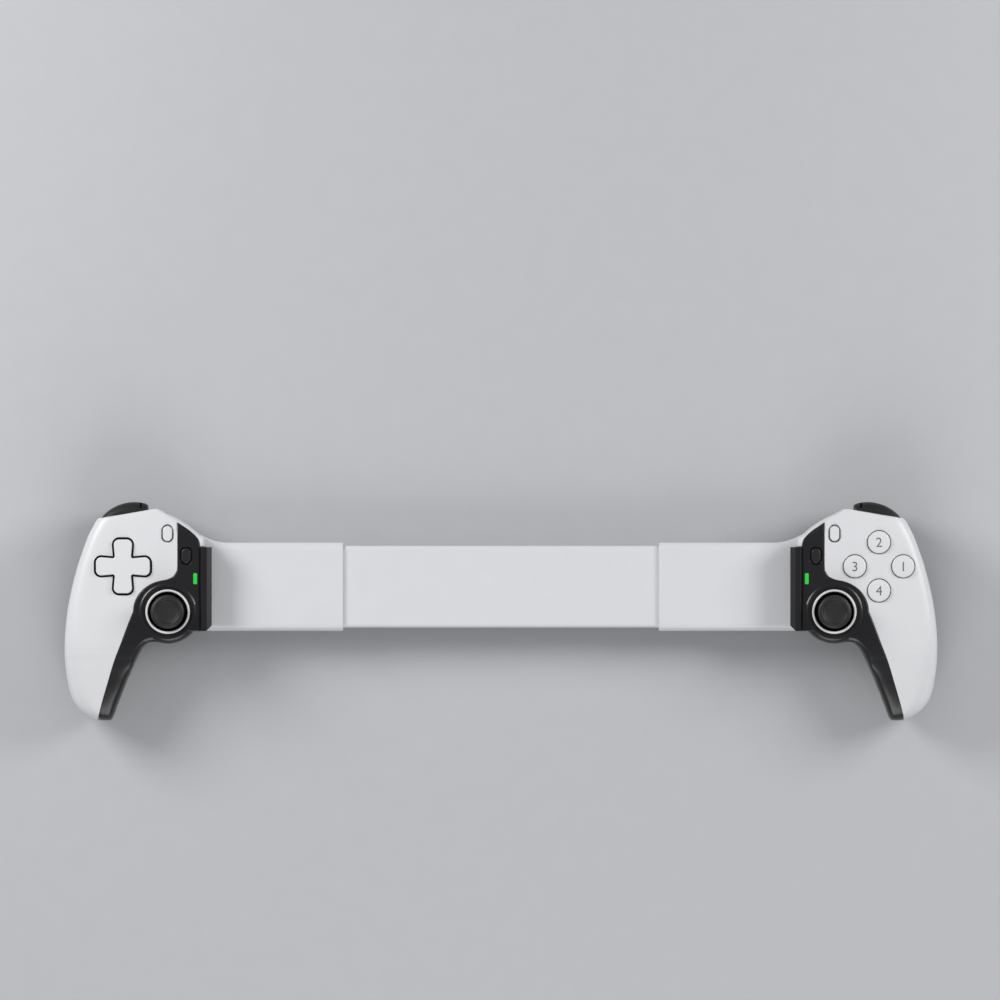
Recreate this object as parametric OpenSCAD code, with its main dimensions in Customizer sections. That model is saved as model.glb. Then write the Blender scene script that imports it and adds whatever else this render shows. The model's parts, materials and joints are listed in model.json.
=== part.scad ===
// Stretchable game controller for a phone or tablet.
// It lies on its back: X to the right, Y up the front face, Z out of the front face.
// Each grip is drawn in its own frame: u runs outwards from the jaw lip, v up from the
// middle of the bridge and z up from the table. The left grip is the mirrored frame.

/* [Bridge] */
// Clear distance between the two jaw lips when stretched
jaw_gap = 268; // [240:1:290]
// How far each grip slides inwards
slide_travel = 64; // [50:1:66]
// Reach of each sleeve from its jaw lip towards the middle
sleeve_reach = 60.7; // [56:0.1:64]
// Length of plate that stays inside each sleeve when stretched
plate_overlap = 14.2; // [10:0.1:16]
// Height of the centre plate, up the front face
plate_w = 38; // [34:0.5:39]
// Thickness of the centre plate
plate_t = 8; // [7:0.1:9]
// Wall of the plate's cover and tray
plate_wall = 1.4; // [1:0.1:1.8]
// Edge radius of the centre plate
plate_r = 2; // [1:0.1:3]
// Wall of the sleeves
sleeve_wall = 1.25; // [1:0.05:1.6]
// Sliding clearance between plate and sleeve
slide_gap = 0.25; // [0.2:0.05:0.35]
// Height of the sleeves above the table
sleeve_back = 11.5; // [10:0.1:13]

/* [Jaws] */
// Depth of the space for the device, from sleeve to lip
device_depth = 10.5; // [9:0.1:11.5]
// Thickness of the jaw lip
lip_t = 4; // [3:0.1:5]
// Depth of the jaw from its lip to the grip
jaw_depth = 5.2; // [4.8:0.1:5.6]
// Thickness of the jaw wall behind the pad
jaw_wall = 2.4; // [2:0.1:2.8]
// Thickness of the jaw pad
pad_t = 1.3; // [1:0.1:1.6]
// Upper end of the jaw
jaw_high = 18.5; // [16:0.1:19]

/* [Grip] */
// Height of the front face over the sleeves
front_rise = 13.5; // [12.5:0.1:15]
// Wall of the grip shells
grip_wall = 2; // [1.6:0.1:2.4]
// Gap along the seams between shells
seam = 0.15; // [0.1:0.05:0.3]
// Diameter of the collar round the stick
collar_d = 29.6; // [28:0.1:31]

/* [Action buttons] */
// Diameter of a round button
button_d = 10.4; // [9:0.1:11]
// Distance of each round button from the middle of the four
button_pitch = 11.2; // [10.6:0.1:11.6]
// Gap round a button
button_gap = 0.36; // [0.25:0.01:0.5]
// Height of a button over the front face
button_proud = 1.3; // [1:0.1:2]
// Travel of a round button
button_travel = 1; // [0.6:0.1:1.2]
// Width of the flange that holds a button under the face
flange_w = 0.5; // [0.4:0.05:0.7]
// Thickness of that flange
flange_t = 1.3; // [1:0.1:1.6]

/* [Direction pad] */
// Length of each arm from the middle
dpad_arm = 12.65; // [11.5:0.05:13.2]
// Half width of an arm at its root
dpad_root = 3.25; // [2.8:0.05:3.6]
// Half width of an arm at its end
dpad_end = 4.2; // [3.8:0.05:4.6]
// Gap round the direction pad
dpad_gap = 0.8; // [0.7:0.05:1]
// Height of the direction pad over the front face
dpad_proud = 1.6; // [1.4:0.1:2.2]

/* [Oval buttons] */
// Width of an oval button
oval_w = 3.9; // [3.4:0.1:4.2]
// Height of an oval button
oval_h = 6.7; // [6:0.1:7.2]
// Gap round an oval button
oval_gap = 0.65; // [0.4:0.05:0.8]
// Height of an oval button over the face
oval_proud = 0.8; // [0.7:0.1:1.2]
// Travel of an oval button
oval_travel = 0.5; // [0.3:0.1:0.6]

/* [Sticks] */
// Diameter of the stick's cap
stick_cap_d = 15.8; // [14:0.1:16.4]
// Outer diameter of the ring round the stick
stick_ring_d = 20.6; // [20:0.1:21.4]
// Width of that ring
stick_ring_w = 1.2; // [1:0.1:1.4]
// Diameter of the stick's stem
stem_d = 3; // [2.6:0.1:3.2]
// Radius of the dome under the cap
dome_r = 9.5; // [9.2:0.05:9.7]
// Press of the stick
stick_press = 0.5; // [0.3:0.1:0.6]

/* [Shoulder] */
// Radius of the bumper's domed outline
bumper_r = 20; // [19:0.1:20.6]
// Length of the bumper
bumper_len = 21.3; // [19:0.1:22]
// Clearance round bumper and trigger
shoulder_gap = 0.4; // [0.3:0.05:0.5]
// Length of the trigger
trigger_len = 16; // [14:0.1:17]
// Diameter of the trigger's pin
pin_d = 2; // [1.6:0.1:2.2]

/* [Insides] */
// Thickness of the circuit boards
board_t = 1.6; // [1:0.1:1.8]
// Diameter of the case screws
screw_d = 2; // [1.6:0.1:2.4]
// Thickness of the battery
battery_t = 7; // [5:0.1:7.5]
// Running clearance of pins and stems in their holes
fit = 0.1; // [0.08:0.01:0.15]

/* [Hidden] */
SIDES = ["left", "right"];
COMMON = ["front_shell", "panel", "rear_shell", "sleeve", "jaw", "jaw_pad", "board", "screws",
    "light_window", "stick_ring", "stick_base", "stick_yoke", "stick_stem", "stick_cap",
    "bumper", "trigger", "trigger_pin", "trigger_spring", "keypad"];
$fn = 32;
small_fn = 16;

WHITE = [0.88, 0.88, 0.9];
BLACK = [0.08, 0.08, 0.09];
DARK = [0.16, 0.16, 0.18];
STEEL = [0.7, 0.72, 0.75];
GREEN = [0.05, 0.35, 0.15];

// Levels, from the table upwards
sleeve_h = plate_t + 2 * (slide_gap + sleeve_wall);
sleeve_w = plate_w + 2 * (slide_gap + sleeve_wall);
sleeve_top = sleeve_back + sleeve_h;
jaw_low = -sleeve_w / 2;
plate_back = sleeve_back + sleeve_wall + slide_gap;
plate_mid = plate_back + plate_t / 2;
front_z = sleeve_top + front_rise;
seat_gap = 0.1;
board_back = sleeve_top + 0.5;
board_front = board_back + board_t;
pocket_z = front_z - 2.5;
flange_top = pocket_z - fit;
lip_z = sleeve_top + device_depth;

// Lengths along the bridge
plate_len = jaw_gap - 2 * sleeve_reach + 2 * plate_overlap;
plate_end = plate_len / 2 - jaw_gap / 2;
tunnel_end = plate_end + slide_travel + 1;

// Places of the controls on a grip, as [u, v]
collar_clear = 0.3;
stick_at = [jaw_depth + seat_gap + collar_clear + collar_d / 2, -11.5];
cluster_at = [41.1, 9.5];
shell_oval_at = [20.5, 24.7];
panel_oval_at = [11.9, 14.4];
light_at = [7.9, 3.85];
light_size = [1.7, 5.1];
screws_at = [[60, -12], [54, -50], [48, -30], [25.6, 31]];
posts_at = [[52.5, 13], [52, -14], [36, -17], [27, 20]];

// Outline of the grip, from the tip of the handle to the top edge:
// [v, inner u, outer u, height of the back, drop of the front face]
grip_stations = [
    [-62.0, 47.3, 52.4, 11.0, 12.5],
    [-61.2, 46.5, 54.9, 8.2, 10.4],
    [-59.5, 45.7, 58.3, 5.5, 8.5],
    [-56.5, 44.6, 62.1, 3.2, 6.9],
    [-52.0, 42.9, 65.1, 1.5, 5.4],
    [-46.5, 40.7, 66.8, 0.4, 4.0],
    [-40.0, 38.2, 67.9, 0.0, 2.7],
    [-34.0, 35.7, 68.4, 0.4, 1.6],
    [-29.8, 33.6, 68.5, 1.1, 0.9],
    [-28.4, 32.6, 68.5, 1.4, 0.8],
    [-27.4, 31.0, 68.5, 1.6, 0.7],
    [-26.8, 28.0, 68.5, 1.7, 0.6],
    [-26.5, 2.0, 68.5, 1.8, 0.6],
    [-20.0, -3.0, 68.1, 2.6, 0.2],
    [-11.0, -3.0, 67.1, 3.0, 0.0],
    [-3.0, -3.0, 65.6, 2.6, 0.0],
    [5.0, -3.0, 63.7, 1.3, 0.0],
    [11.0, -3.0, 62.0, 0.4, 0.0],
    [16.0, -3.0, 60.3, 0.0, 0.0],
    [21.0, 0.0, 58.5, 0.4, 0.0],
    [24.2, 5.6, 57.2, 1.0, 0.1],
    [28.0, 10.2, 55.2, 2.4, 0.3],
    [31.7, 16.0, 52.8, 4.6, 0.7],
    [33.6, 20.0, 42.5, 6.6, 1.1],
    [35.0, 22.6, 34.0, 9.0, 1.5],
    [36.1, 25.0, 27.0, 12.5, 2.4]];
outer_points = 20;
inner_points = 16;
back_power = 3;
// Ridge where the front face is highest, as [v, u]
ridge_line = [[-62, 49.8], [-52, 54], [-40, 53], [-26, 50], [0, 46], [20, 38], [31.7, 32], [36.1, 26]];
parting_slope = 0.06;
parting_z = front_z - 16;
// Reach of cuts that only have to pass the whole grip
beyond = 100;

// Border between the white shell and the black panel, round the panel's inner side
panel_border = [[0, 17], [5.3, 19.4], [6, 21.7], [7.4, 23.6], [10.2, 26.1], [15.9, 30],
    [15.9, 8.7], [17.6, 4.8], [19.5, 3.4], [24.1, 2.2], [28, 0], [35, -9.5], [37.6, -15.9],
    [41.3, -25.4], [45, -34.9], [48.2, -45.1], [51, -55.3], [52.2, -64], [30, -64], [0, -40]];
panel_arc_d = collar_d - 0.4;
corner_inner = 3.4;

// The shoulder: bumper in front, trigger behind it, a web between them
bumper_at = [36, 19.3];
bumper_inner = 29.5;
bumper_base = 30.5;
bumper_peg_at = [31.3, 32.2];
bumper_peg_d = 2;
web_t = 1.1;
web_back = parting_z + 2.1;
bumper_back = web_back + web_t + shoulder_gap;
bumper_front = front_z - 3.2;
trigger_inner = 31;
trigger_outer = trigger_inner + trigger_len;
trigger_top = web_back - shoulder_gap - 0.5;
trigger_pivot = [29, trigger_top - 2.7];
well_floor = 24.5;
spring_u = [37, 41];

// Ends of the part up the front face; they set where the bridge lies
grip_low = grip_stations[0][0];
bumper_top = bumper_at[1] + bumper_r;
bridge_y = -(bumper_top + grip_low) / 2;

// Stick
stick_pivot_z = board_front + 2.9;
cap_z = front_z + 5.6;
cap_t = 3.4;
stem_top = front_z + 2.6;

// Direction pad
dpad_pivot_z = front_z - 5;
dpad_plate_r = dpad_arm - 1.6;
dpad_plate_t = 1.5;
rocker_ball_r = 2;

function signed_pow(x, p) = sign(x) * pow(abs(x), p);
function inner_power(v) = lookup(v, [[-62, 2.6], [-45, 3.4], [-20, 10], [20, 10], [32, 7]]);
function outer_power(v) = lookup(v, [[-62, 2.6], [-45, 3.2], [-20, 6], [40, 6]]);
function parting_at(v) = parting_z + parting_slope * v;

// One section of the grip: a rounded loop about the ridge, flatter in front than behind
function section_points(inset) = inset > 0 ? inner_points : outer_points;
function grip_section(s, inset) =
    let (v = s[0] - inset * max(-1, min(1, (s[0] + 1) / 25)))
    let (mid_u = lookup(s[0], ridge_line), mid_z = parting_at(s[0]))
    [for (k = [0 : section_points(inset) - 1])
        let (a = 360 * k / section_points(inset), front = sin(a) >= 0, outer = cos(a) >= 0)
        let (n = !front ? back_power : outer ? outer_power(s[0]) : inner_power(s[0]))
        let (w = (outer ? s[2] - mid_u : mid_u - s[1]) - inset)
        let (h = front ? front_z - s[4] - inset - mid_z : mid_z - s[3] - inset)
        [mid_u + w * signed_pow(cos(a), 2 / n), v, mid_z + h * signed_pow(sin(a), 2 / n)]];

module on_side(side) {
    sign_x = side == "left" ? -1 : 1;
    translate([sign_x * jaw_gap / 2, bridge_y, 0])
        mirror([side == "left" ? 1 : 0, 0, 0])
            children();
}

module along_u(u0, u1) {
    translate([u0, 0, 0])
        rotate([90, 0, 90])
            linear_extrude(u1 - u0)
                children();
}

module along_v(v0, v1) {
    translate([0, v1, 0])
        rotate([90, 0, 0])
            linear_extrude(v1 - v0)
                children();
}

module along_z(z0, z1) {
    translate([0, 0, z0])
        linear_extrude(z1 - z0)
            children();
}

module rounded_rect(w, h, r) {
    translate([-w / 2 + r, -h / 2])
        square([w - 2 * r, h]);
    translate([-w / 2, -h / 2 + r])
        square([w, h - 2 * r]);
    for (x = [-1, 1], y = [-1, 1])
        translate([x * (w / 2 - r), y * (h / 2 - r)])
            circle(r);
}

module stadium(w, h) {
    translate([-w / 2, -(h - w) / 2])
        square([w, h - w]);
    for (y = [-1, 1])
        translate([0, y * (h - w) / 2])
            circle(w / 2);
}

// Grip form

module grip_loft(inset) {
    stations = [for (s = grip_stations) if (s[2] - s[1] > 2 * inset + 2 || inset == 0) s];
    points = section_points(inset);
    for (i = [0 : len(stations) - 2])
        hull()
            polyhedron(
                concat(grip_section(stations[i], inset), grip_section(stations[i + 1], inset)),
                [[for (k = [0 : points - 1]) k], [for (k = [0 : points - 1]) points + k]]);
}

// Front view of the grip: straight beside the jaw, round at the collar, open at the handle
module body_trim(inset) {
    translate([jaw_depth + seat_gap + inset, stick_at[1]])
        square([beyond, beyond]);
    translate(stick_at)
        circle(collar_d / 2 - inset);
    translate([stick_at[0], stick_at[1] - beyond])
        square([beyond, beyond]);
}

module grip_form(inset) {
    intersection() {
        grip_loft(inset);
        along_z(-1, front_z + 1)
            body_trim(inset);
    }
}

module grip_wall_form() {
    difference() {
        grip_form(0);
        grip_form(grip_wall);
    }
}

module half_space(up) {
    translate([0, 0, parting_z])
        rotate([atan(parting_slope), 0, 0])
            translate([-beyond, -beyond, up ? seam / 2 : -beyond - seam / 2])
                cube([2 * beyond, 2 * beyond, beyond]);
}

module panel_region(inset) {
    offset(delta = -inset)
        union() {
            polygon(panel_border);
            translate(stick_at)
                circle(panel_arc_d / 2);
        }
}

// Openings

module button_places() {
    for (k = [0 : 3])
        translate(cluster_at + button_pitch * [cos(90 * k), sin(90 * k)])
            children();
}

module dpad_outline(grow) {
    end_r = 1.5 + grow;
    for (k = [0 : 3])
        rotate(90 * k) {
            polygon([[-dpad_root - grow, 0], [dpad_root + grow, 0],
                [dpad_end + grow, dpad_arm + grow - end_r],
                [-dpad_end - grow, dpad_arm + grow - end_r]]);
            translate([-dpad_end - grow + end_r, dpad_arm + grow - end_r])
                square([2 * (dpad_end + grow - end_r), end_r]);
            for (x = [-1, 1])
                translate([x * (dpad_end + grow - end_r), dpad_arm + grow - end_r])
                    circle(end_r);
        }
}

// Holes through the face, and the wider pockets behind it for the flanges
module shell_openings(side) {
    hole_z = front_z + 5;
    along_z(board_front, hole_z) {
        translate(shell_oval_at)
            stadium(oval_w + 2 * oval_gap, oval_h + 2 * oval_gap);
        if (side == "left")
            translate(cluster_at)
                dpad_outline(dpad_gap);
        else
            button_places()
                circle(button_d / 2 + button_gap);
    }
    along_z(board_front, pocket_z) {
        pocket = oval_gap + flange_w + fit;
        translate(shell_oval_at)
            stadium(oval_w + 2 * pocket, oval_h + 2 * pocket);
        if (side == "left")
            translate(cluster_at)
                circle(dpad_plate_r + 0.6);
        else
            button_places()
                circle(button_d / 2 + button_gap + flange_w + fit);
    }
}

module panel_openings() {
    along_z(board_front, front_z + 5) {
        translate(panel_oval_at)
            stadium(oval_w + 2 * oval_gap, oval_h + 2 * oval_gap);
        translate(light_at)
            stadium(light_size[0] + 2 * fit, light_size[1] + 2 * fit);
        translate(stick_at)
            circle(stick_ring_d / 2 + seat_gap);
    }
    along_z(board_front, pocket_z) {
        pocket = oval_gap + flange_w + fit;
        translate(panel_oval_at)
            stadium(oval_w + 2 * pocket, oval_h + 2 * pocket);
        translate(light_at)
            stadium(light_size[0] + 1 + 2 * fit, light_size[1] + 1 + 2 * fit);
    }
}

module sleeve_room() {
    translate([0, 0, sleeve_back + sleeve_h / 2])
        along_u(-1, tunnel_end + 1)
            square([sleeve_w + 2 * seat_gap, sleeve_h + 2 * seat_gap], center = true);
}

module bumper_outline(grow) {
    intersection() {
        translate(bumper_at)
            circle(bumper_r + grow, $fn = 96);
        translate([bumper_inner - grow, bumper_base - 2 * grow])
            square([bumper_len + 2 * grow, beyond]);
    }
}

// Room for the bumper, with its inward swing, and the well of the trigger
module shoulder_room() {
    along_z(bumper_back - shoulder_gap, bumper_front + shoulder_gap)
        translate([bumper_inner - shoulder_gap, bumper_base - 2])
            square([bumper_len + 2 * shoulder_gap, beyond]);
    along_z(-1, web_back)
        translate([trigger_inner - shoulder_gap, well_floor])
            square([trigger_len + 2 * shoulder_gap, beyond]);
}

module trigger_axis(u0, u1, d) {
    translate([u0, trigger_pivot[0], trigger_pivot[1]])
        rotate([0, 90, 0])
            cylinder(d = d, h = u1 - u0);
}

socket_size = [9, 7.2, 3.2];
socket_at = [23.6, -26.2, board_back - seat_gap - socket_size[2]];

module socket_profile(grow) {
    translate([socket_at[0] + socket_size[0] / 2, socket_at[2] + socket_size[2] / 2])
        rotate(90)
            stadium(socket_size[2] + 2 * grow, socket_size[0] + 2 * grow);
}

module socket_room(side) {
    if (side == "right")
        along_v(socket_at[1] - 4, socket_at[1] + 6)
            socket_profile(fit);
}

// Screws: head in the back, shank through the rear boss into the front boss
screw_head_z = 8;
screw_head_d = 2 * screw_d - 0.2;
screw_head_t = 1.6;
screw_reach = 5;
boss_wall = 1.2;
post_d = 3.6;

module screw_places() {
    for (p = screws_at)
        translate(p)
            children();
}

module screw_holes() {
    screw_places() {
        translate([0, 0, -1])
            cylinder(d = screw_head_d + 2 * fit, h = screw_head_z + screw_head_t + 1 + fit / 2,
                $fn = small_fn);
        cylinder(d = screw_d + 2 * fit, h = parting_z + screw_reach + 3, $fn = small_fn);
    }
}

module rear_bosses() {
    intersection() {
        grip_form(grip_wall / 2);
        half_space(false);
        union() {
            screw_places()
                cylinder(d = screw_head_d + 2 * fit + 2 * boss_wall, h = front_z, $fn = small_fn);
            for (p = posts_at)
                translate(p)
                    cylinder(d = post_d, h = board_back, $fn = small_fn);
        }
    }
}

module post_tops() {
    for (p = posts_at)
        translate([p[0], p[1], parting_at(p[1]) - 2])
            cylinder(d = post_d, h = board_back - seat_gap - parting_at(p[1]) + 2, $fn = small_fn);
}

module front_bosses() {
    intersection() {
        grip_form(grip_wall / 2);
        half_space(true);
        screw_places()
            cylinder(d = screw_d + 2 * fit + 2 * boss_wall, h = front_z, $fn = small_fn);
    }
}

// Block that becomes the side walls and floor of the trigger's well, with the pin's seats
module trigger_well() {
    well_wall = 2;
    side_wall = shoulder_gap + well_wall;
    intersection() {
        grip_form(grip_wall / 2);
        along_z(0, parting_at(well_floor) - 1)
            translate([trigger_inner - side_wall, well_floor - well_wall])
                square([trigger_len + 2 * side_wall, 10]);
    }
}

// Web between bumper and trigger, and the seats of the bumper's pegs
module shoulder_web() {
    intersection() {
        grip_form(grip_wall / 4);
        along_z(web_back, web_back + web_t)
            translate([bumper_inner - 2, well_floor])
                square([bumper_len + 4, beyond]);
    }
}

module bumper_peg(grow) {
    translate([bumper_peg_at[0], bumper_peg_at[1], bumper_back - 0.9 - grow])
        cylinder(d = bumper_peg_d + 2 * grow, h = bumper_front - bumper_back + 1.8 + 2 * grow);
}

// Grip shells

// Corner of the front shell that comes down past the panel to the top of the jaw
module shell_corner() {
    intersection() {
        grip_loft(0);
        along_z(sleeve_top + seat_gap, front_z + 1)
            translate([corner_inner, jaw_high + seat_gap])
                square([jaw_depth + grip_wall - corner_inner, beyond]);
    }
}

module front_shell(side) {
    color(WHITE)
        on_side(side)
            difference() {
                union() {
                    difference() {
                        intersection() {
                            grip_wall_form();
                            half_space(true);
                        }
                        along_z(0, front_z + 5)
                            panel_region(0);
                        shoulder_room();
                    }
                    difference() {
                        shell_corner();
                        along_z(0, front_z + 5)
                            panel_region(0);
                    }
                    front_bosses();
                    shoulder_web();
                }
                shell_openings(side);
                screw_holes();
                sleeve_room();
                bumper_peg(fit);
            }
}

module panel(side) {
    color(BLACK)
        on_side(side)
            difference() {
                intersection() {
                    grip_wall_form();
                    half_space(true);
                    along_z(0, front_z + 5)
                        panel_region(seam);
                }
                panel_openings();
                sleeve_room();
                socket_room(side);
            }
}

module rear_shell(side) {
    color(DARK)
        on_side(side)
            difference() {
                union() {
                    intersection() {
                        grip_wall_form();
                        half_space(false);
                    }
                    rear_bosses();
                    post_tops();
                    trigger_well();
                }
                shoulder_room();
                screw_holes();
                sleeve_room();
                socket_room(side);
                trigger_axis(trigger_inner - 2.2, trigger_outer + 2.2, pin_d + 2 * fit);
            }
}

module screws(side) {
    color(STEEL)
        on_side(side)
            for (p = screws_at)
                translate([p[0], p[1], screw_head_z]) {
                    difference() {
                        cylinder(d = screw_head_d, h = screw_head_t);
                        translate([-screw_head_d / 4, -0.3, -1])
                            cube([screw_head_d / 2, 0.6, 1.6]);
                        translate([-0.3, -screw_head_d / 4, -1])
                            cube([0.6, screw_head_d / 2, 1.6]);
                    }
                    cylinder(d = screw_d, h = parting_at(p[1]) + screw_reach - screw_head_z);
                }
}

// Bridge

module plate_section(inset) {
    r = max(0.3, plate_r - inset);
    translate([0, plate_mid])
        rounded_rect(plate_w - 2 * inset, plate_t - 2 * inset, r);
}

module plate_half(up) {
    along_u(-plate_len / 2, plate_len / 2)
        intersection() {
            difference() {
                plate_section(0);
                plate_section(plate_wall);
            }
            translate([-plate_w, up ? plate_mid + seam / 2 : plate_mid - seam / 2 - plate_t])
                square([2 * plate_w, plate_t]);
        }
}

plate_screws_at = [for (x = [-1, 1], y = [-1, 1]) [x * (plate_len / 2 - 12), y * (plate_w / 2 - 6)]];
plate_screw_d = 1.8;
plate_head_d = 3.4;
plate_head_t = 1.2;

module plate_bosses(z0, z1) {
    for (p = plate_screws_at)
        translate([p[0], p[1], z0])
            cylinder(d = plate_head_d + 1.6, h = z1 - z0);
}

module plate_screw_holes() {
    for (p = plate_screws_at)
        translate([p[0], p[1], plate_back - 1]) {
            cylinder(d = plate_head_d + 2 * fit, h = plate_head_t + 1.2 + fit / 2);
            cylinder(d = plate_screw_d + 2 * fit, h = plate_t - plate_wall + 1);
        }
}

module centre_front_cover() {
    color(WHITE)
        translate([0, bridge_y, 0])
            difference() {
                union() {
                    plate_half(true);
                    plate_bosses(plate_mid + seam / 2, plate_back + plate_t - plate_wall / 2);
                }
                plate_screw_holes();
            }
}

module centre_rear_tray() {
    color(WHITE)
        translate([0, bridge_y, 0])
            difference() {
                union() {
                    plate_half(false);
                    plate_bosses(plate_back + plate_wall / 2, plate_mid - seam / 2);
                }
                plate_screw_holes();
            }
}

module centre_screws() {
    color(STEEL)
        translate([0, bridge_y, 0])
            for (p = plate_screws_at)
                translate([p[0], p[1], plate_back + 0.2]) {
                    cylinder(d = plate_head_d, h = plate_head_t);
                    cylinder(d = plate_screw_d, h = plate_t - plate_wall - 0.6);
                }
}

// Flat cable laid in three runs on the tray, joined by two half turns
cable_w = 12;
cable_t = 0.3;
cable_fold = 22;

module cable_turn(x, z, r, side_x) {
    translate([x, z])
        intersection() {
            difference() {
                circle(r + cable_t / 2);
                circle(r - cable_t / 2);
            }
            translate([side_x > 0 ? 0 : -2 * r, -2 * r])
                square([2 * r, 4 * r]);
        }
}

module link_cable() {
    floor_z = plate_back + plate_wall + seat_gap + cable_t / 2;
    r = (plate_t - 2 * plate_wall - 2 * seat_gap - cable_t) / 4;
    run_end = plate_len / 2 - 3;
    color(DARK)
        translate([0, bridge_y, 0])
            along_v(-cable_w / 2, cable_w / 2) {
                translate([-run_end, floor_z - cable_t / 2])
                    square([run_end + cable_fold, cable_t]);
                translate([-cable_fold, floor_z + 2 * r - cable_t / 2])
                    square([2 * cable_fold, cable_t]);
                translate([-cable_fold, floor_z + 4 * r - cable_t / 2])
                    square([run_end + cable_fold, cable_t]);
                cable_turn(cable_fold, floor_z + r, r, 1);
                cable_turn(-cable_fold, floor_z + 3 * r, r, -1);
            }
}

// The sleeve is a flat tube; a small flare above it runs into the grip's top edge
module sleeve(side) {
    inner_w = sleeve_w - 2 * sleeve_wall;
    inner_h = sleeve_h - 2 * sleeve_wall;
    outer_r = plate_r + slide_gap + sleeve_wall;
    color(WHITE)
        on_side(side) {
            translate([0, 0, sleeve_back + sleeve_h / 2])
                along_u(-sleeve_reach, tunnel_end)
                    difference() {
                        rounded_rect(sleeve_w, sleeve_h, outer_r);
                        rounded_rect(inner_w, inner_h, outer_r - sleeve_wall);
                    }
            difference() {
                along_z(sleeve_back + 1, sleeve_top - 1)
                    polygon([[-7, 0], [-7, sleeve_w / 2], [-3.5, sleeve_w / 2 + 0.2],
                        [0, sleeve_w / 2 + 0.8], [3, sleeve_w / 2 + 2.2],
                        [jaw_depth, sleeve_w / 2 + 3.6], [jaw_depth, 0]]);
                translate([0, 0, sleeve_back + sleeve_h / 2])
                    along_u(-8, jaw_depth + 1)
                        square([sleeve_w - sleeve_wall, sleeve_h], center = true);
            }
        }
}

// Clamp

module jaw(side) {
    chamfer = 2.6;
    bevel = 2.3;
    lip_top = lip_z + lip_t;
    color(BLACK)
        on_side(side)
            intersection() {
                along_v(jaw_low, jaw_high)
                    polygon([[jaw_depth, sleeve_top + seat_gap], [jaw_depth, lip_top],
                        [bevel, lip_top], [0, lip_top - 1.6], [0, lip_z + 1],
                        [0.6, lip_z], [jaw_depth - jaw_wall, lip_z],
                        [jaw_depth - jaw_wall, sleeve_top + seat_gap]]);
                along_z(sleeve_top, lip_top + 1)
                    polygon([[0, jaw_high], [jaw_depth, jaw_high], [jaw_depth, jaw_low],
                        [chamfer, jaw_low], [0, jaw_low + chamfer]]);
            }
}

module jaw_pad(side) {
    rim = 0.5;
    pad_back = jaw_depth - jaw_wall - seat_gap;
    color(DARK)
        on_side(side)
            along_u(pad_back - pad_t, pad_back)
                translate([(jaw_low + jaw_high) / 2, (sleeve_top + lip_z) / 2])
                    rounded_rect(jaw_high - jaw_low - 5.6, lip_z - sleeve_top - 2 * rim, 1.5);
}

// Electronics

board_outline = [[9, -15.5], [9, 18.5], [17, 27.2], [23.5, 27.2], [26, 23.6], [53, 23.6],
    [57.5, 14], [58.6, 4], [57, -6], [55.4, -9], [53.5, -20], [33, -23.4], [18, -22.4], [13, -20]];
battery_size = [28, 24];
battery_low = -8;
battery_clear = 3;

module board(side) {
    switch_w = 4.4;
    switch_t = 1.6;
    color(GREEN)
        on_side(side) {
            along_z(board_back, board_front)
                polygon(board_outline);
            for (p = [shell_oval_at, panel_oval_at])
                translate([p[0] - switch_w / 2, p[1] - switch_w / 2, board_front - 0.1])
                    cube([switch_w, switch_w, switch_t + 0.1]);
        }
}

module keypad(side) {
    sheet_t = 0.8;
    sheet_z = board_front + seat_gap / 2;
    dome_low = 3.2;
    dome_high = 2.2;
    color(DARK)
        on_side(side)
            if (side == "left") {
                dome_top = dpad_pivot_z - 1.8;
                translate([cluster_at[0], cluster_at[1], sheet_z]) {
                    difference() {
                        cylinder(r = dpad_plate_r + 1.2, h = sheet_t);
                        translate([0, 0, -1])
                            cylinder(r = 2.6, h = 3);
                    }
                    for (k = [0 : 3])
                        rotate(90 * k)
                            translate([8.6, 0, sheet_t - 0.1])
                                cylinder(r1 = dome_low, r2 = dome_high, h = dome_top - sheet_z - sheet_t);
                }
            } else {
                dome_top = flange_top - flange_t - button_travel - 0.3;
                along_z(sheet_z, sheet_z + sheet_t) {
                    translate(cluster_at)
                        circle(button_pitch - 2);
                    button_places()
                        circle(button_d / 2 + 0.6);
                }
                translate([0, 0, sheet_z + sheet_t - 0.1])
                    button_places()
                        cylinder(r1 = dome_low, r2 = dome_high, h = dome_top - sheet_z - sheet_t);
            }
}

module left_battery() {
    color(STEEL)
        on_side("left")
            along_v(battery_low, battery_low + battery_size[1])
                translate([tunnel_end + battery_clear + battery_size[0] / 2,
                        board_back - seat_gap - battery_t / 2])
                    rounded_rect(battery_size[0], battery_t, 1.5);
}

module charging_socket() {
    color(STEEL)
        on_side("right")
            difference() {
                along_v(socket_at[1], socket_at[1] + socket_size[1])
                    socket_profile(0);
                along_v(socket_at[1] - 1, socket_at[1] + socket_size[1] - 1.2)
                    socket_profile(-0.35);
            }
}

// Buttons

module oval_button(at) {
    stem_foot = board_front + 1.6 + oval_travel + 0.3;
    flange_grow = 2 * (oval_gap + flange_w);
    translate(at) {
        along_z(flange_top - flange_t, front_z + oval_proud)
            stadium(oval_w, oval_h);
        along_z(flange_top - flange_t, flange_top)
            stadium(oval_w + flange_grow, oval_h + flange_grow);
        translate([0, 0, stem_foot])
            cylinder(d = 2.4, h = flange_top - stem_foot);
    }
}

module shell_oval(side) {
    color(WHITE)
        on_side(side)
            oval_button(shell_oval_at);
}

module panel_oval(side) {
    color(BLACK)
        on_side(side)
            oval_button(panel_oval_at);
}

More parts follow.
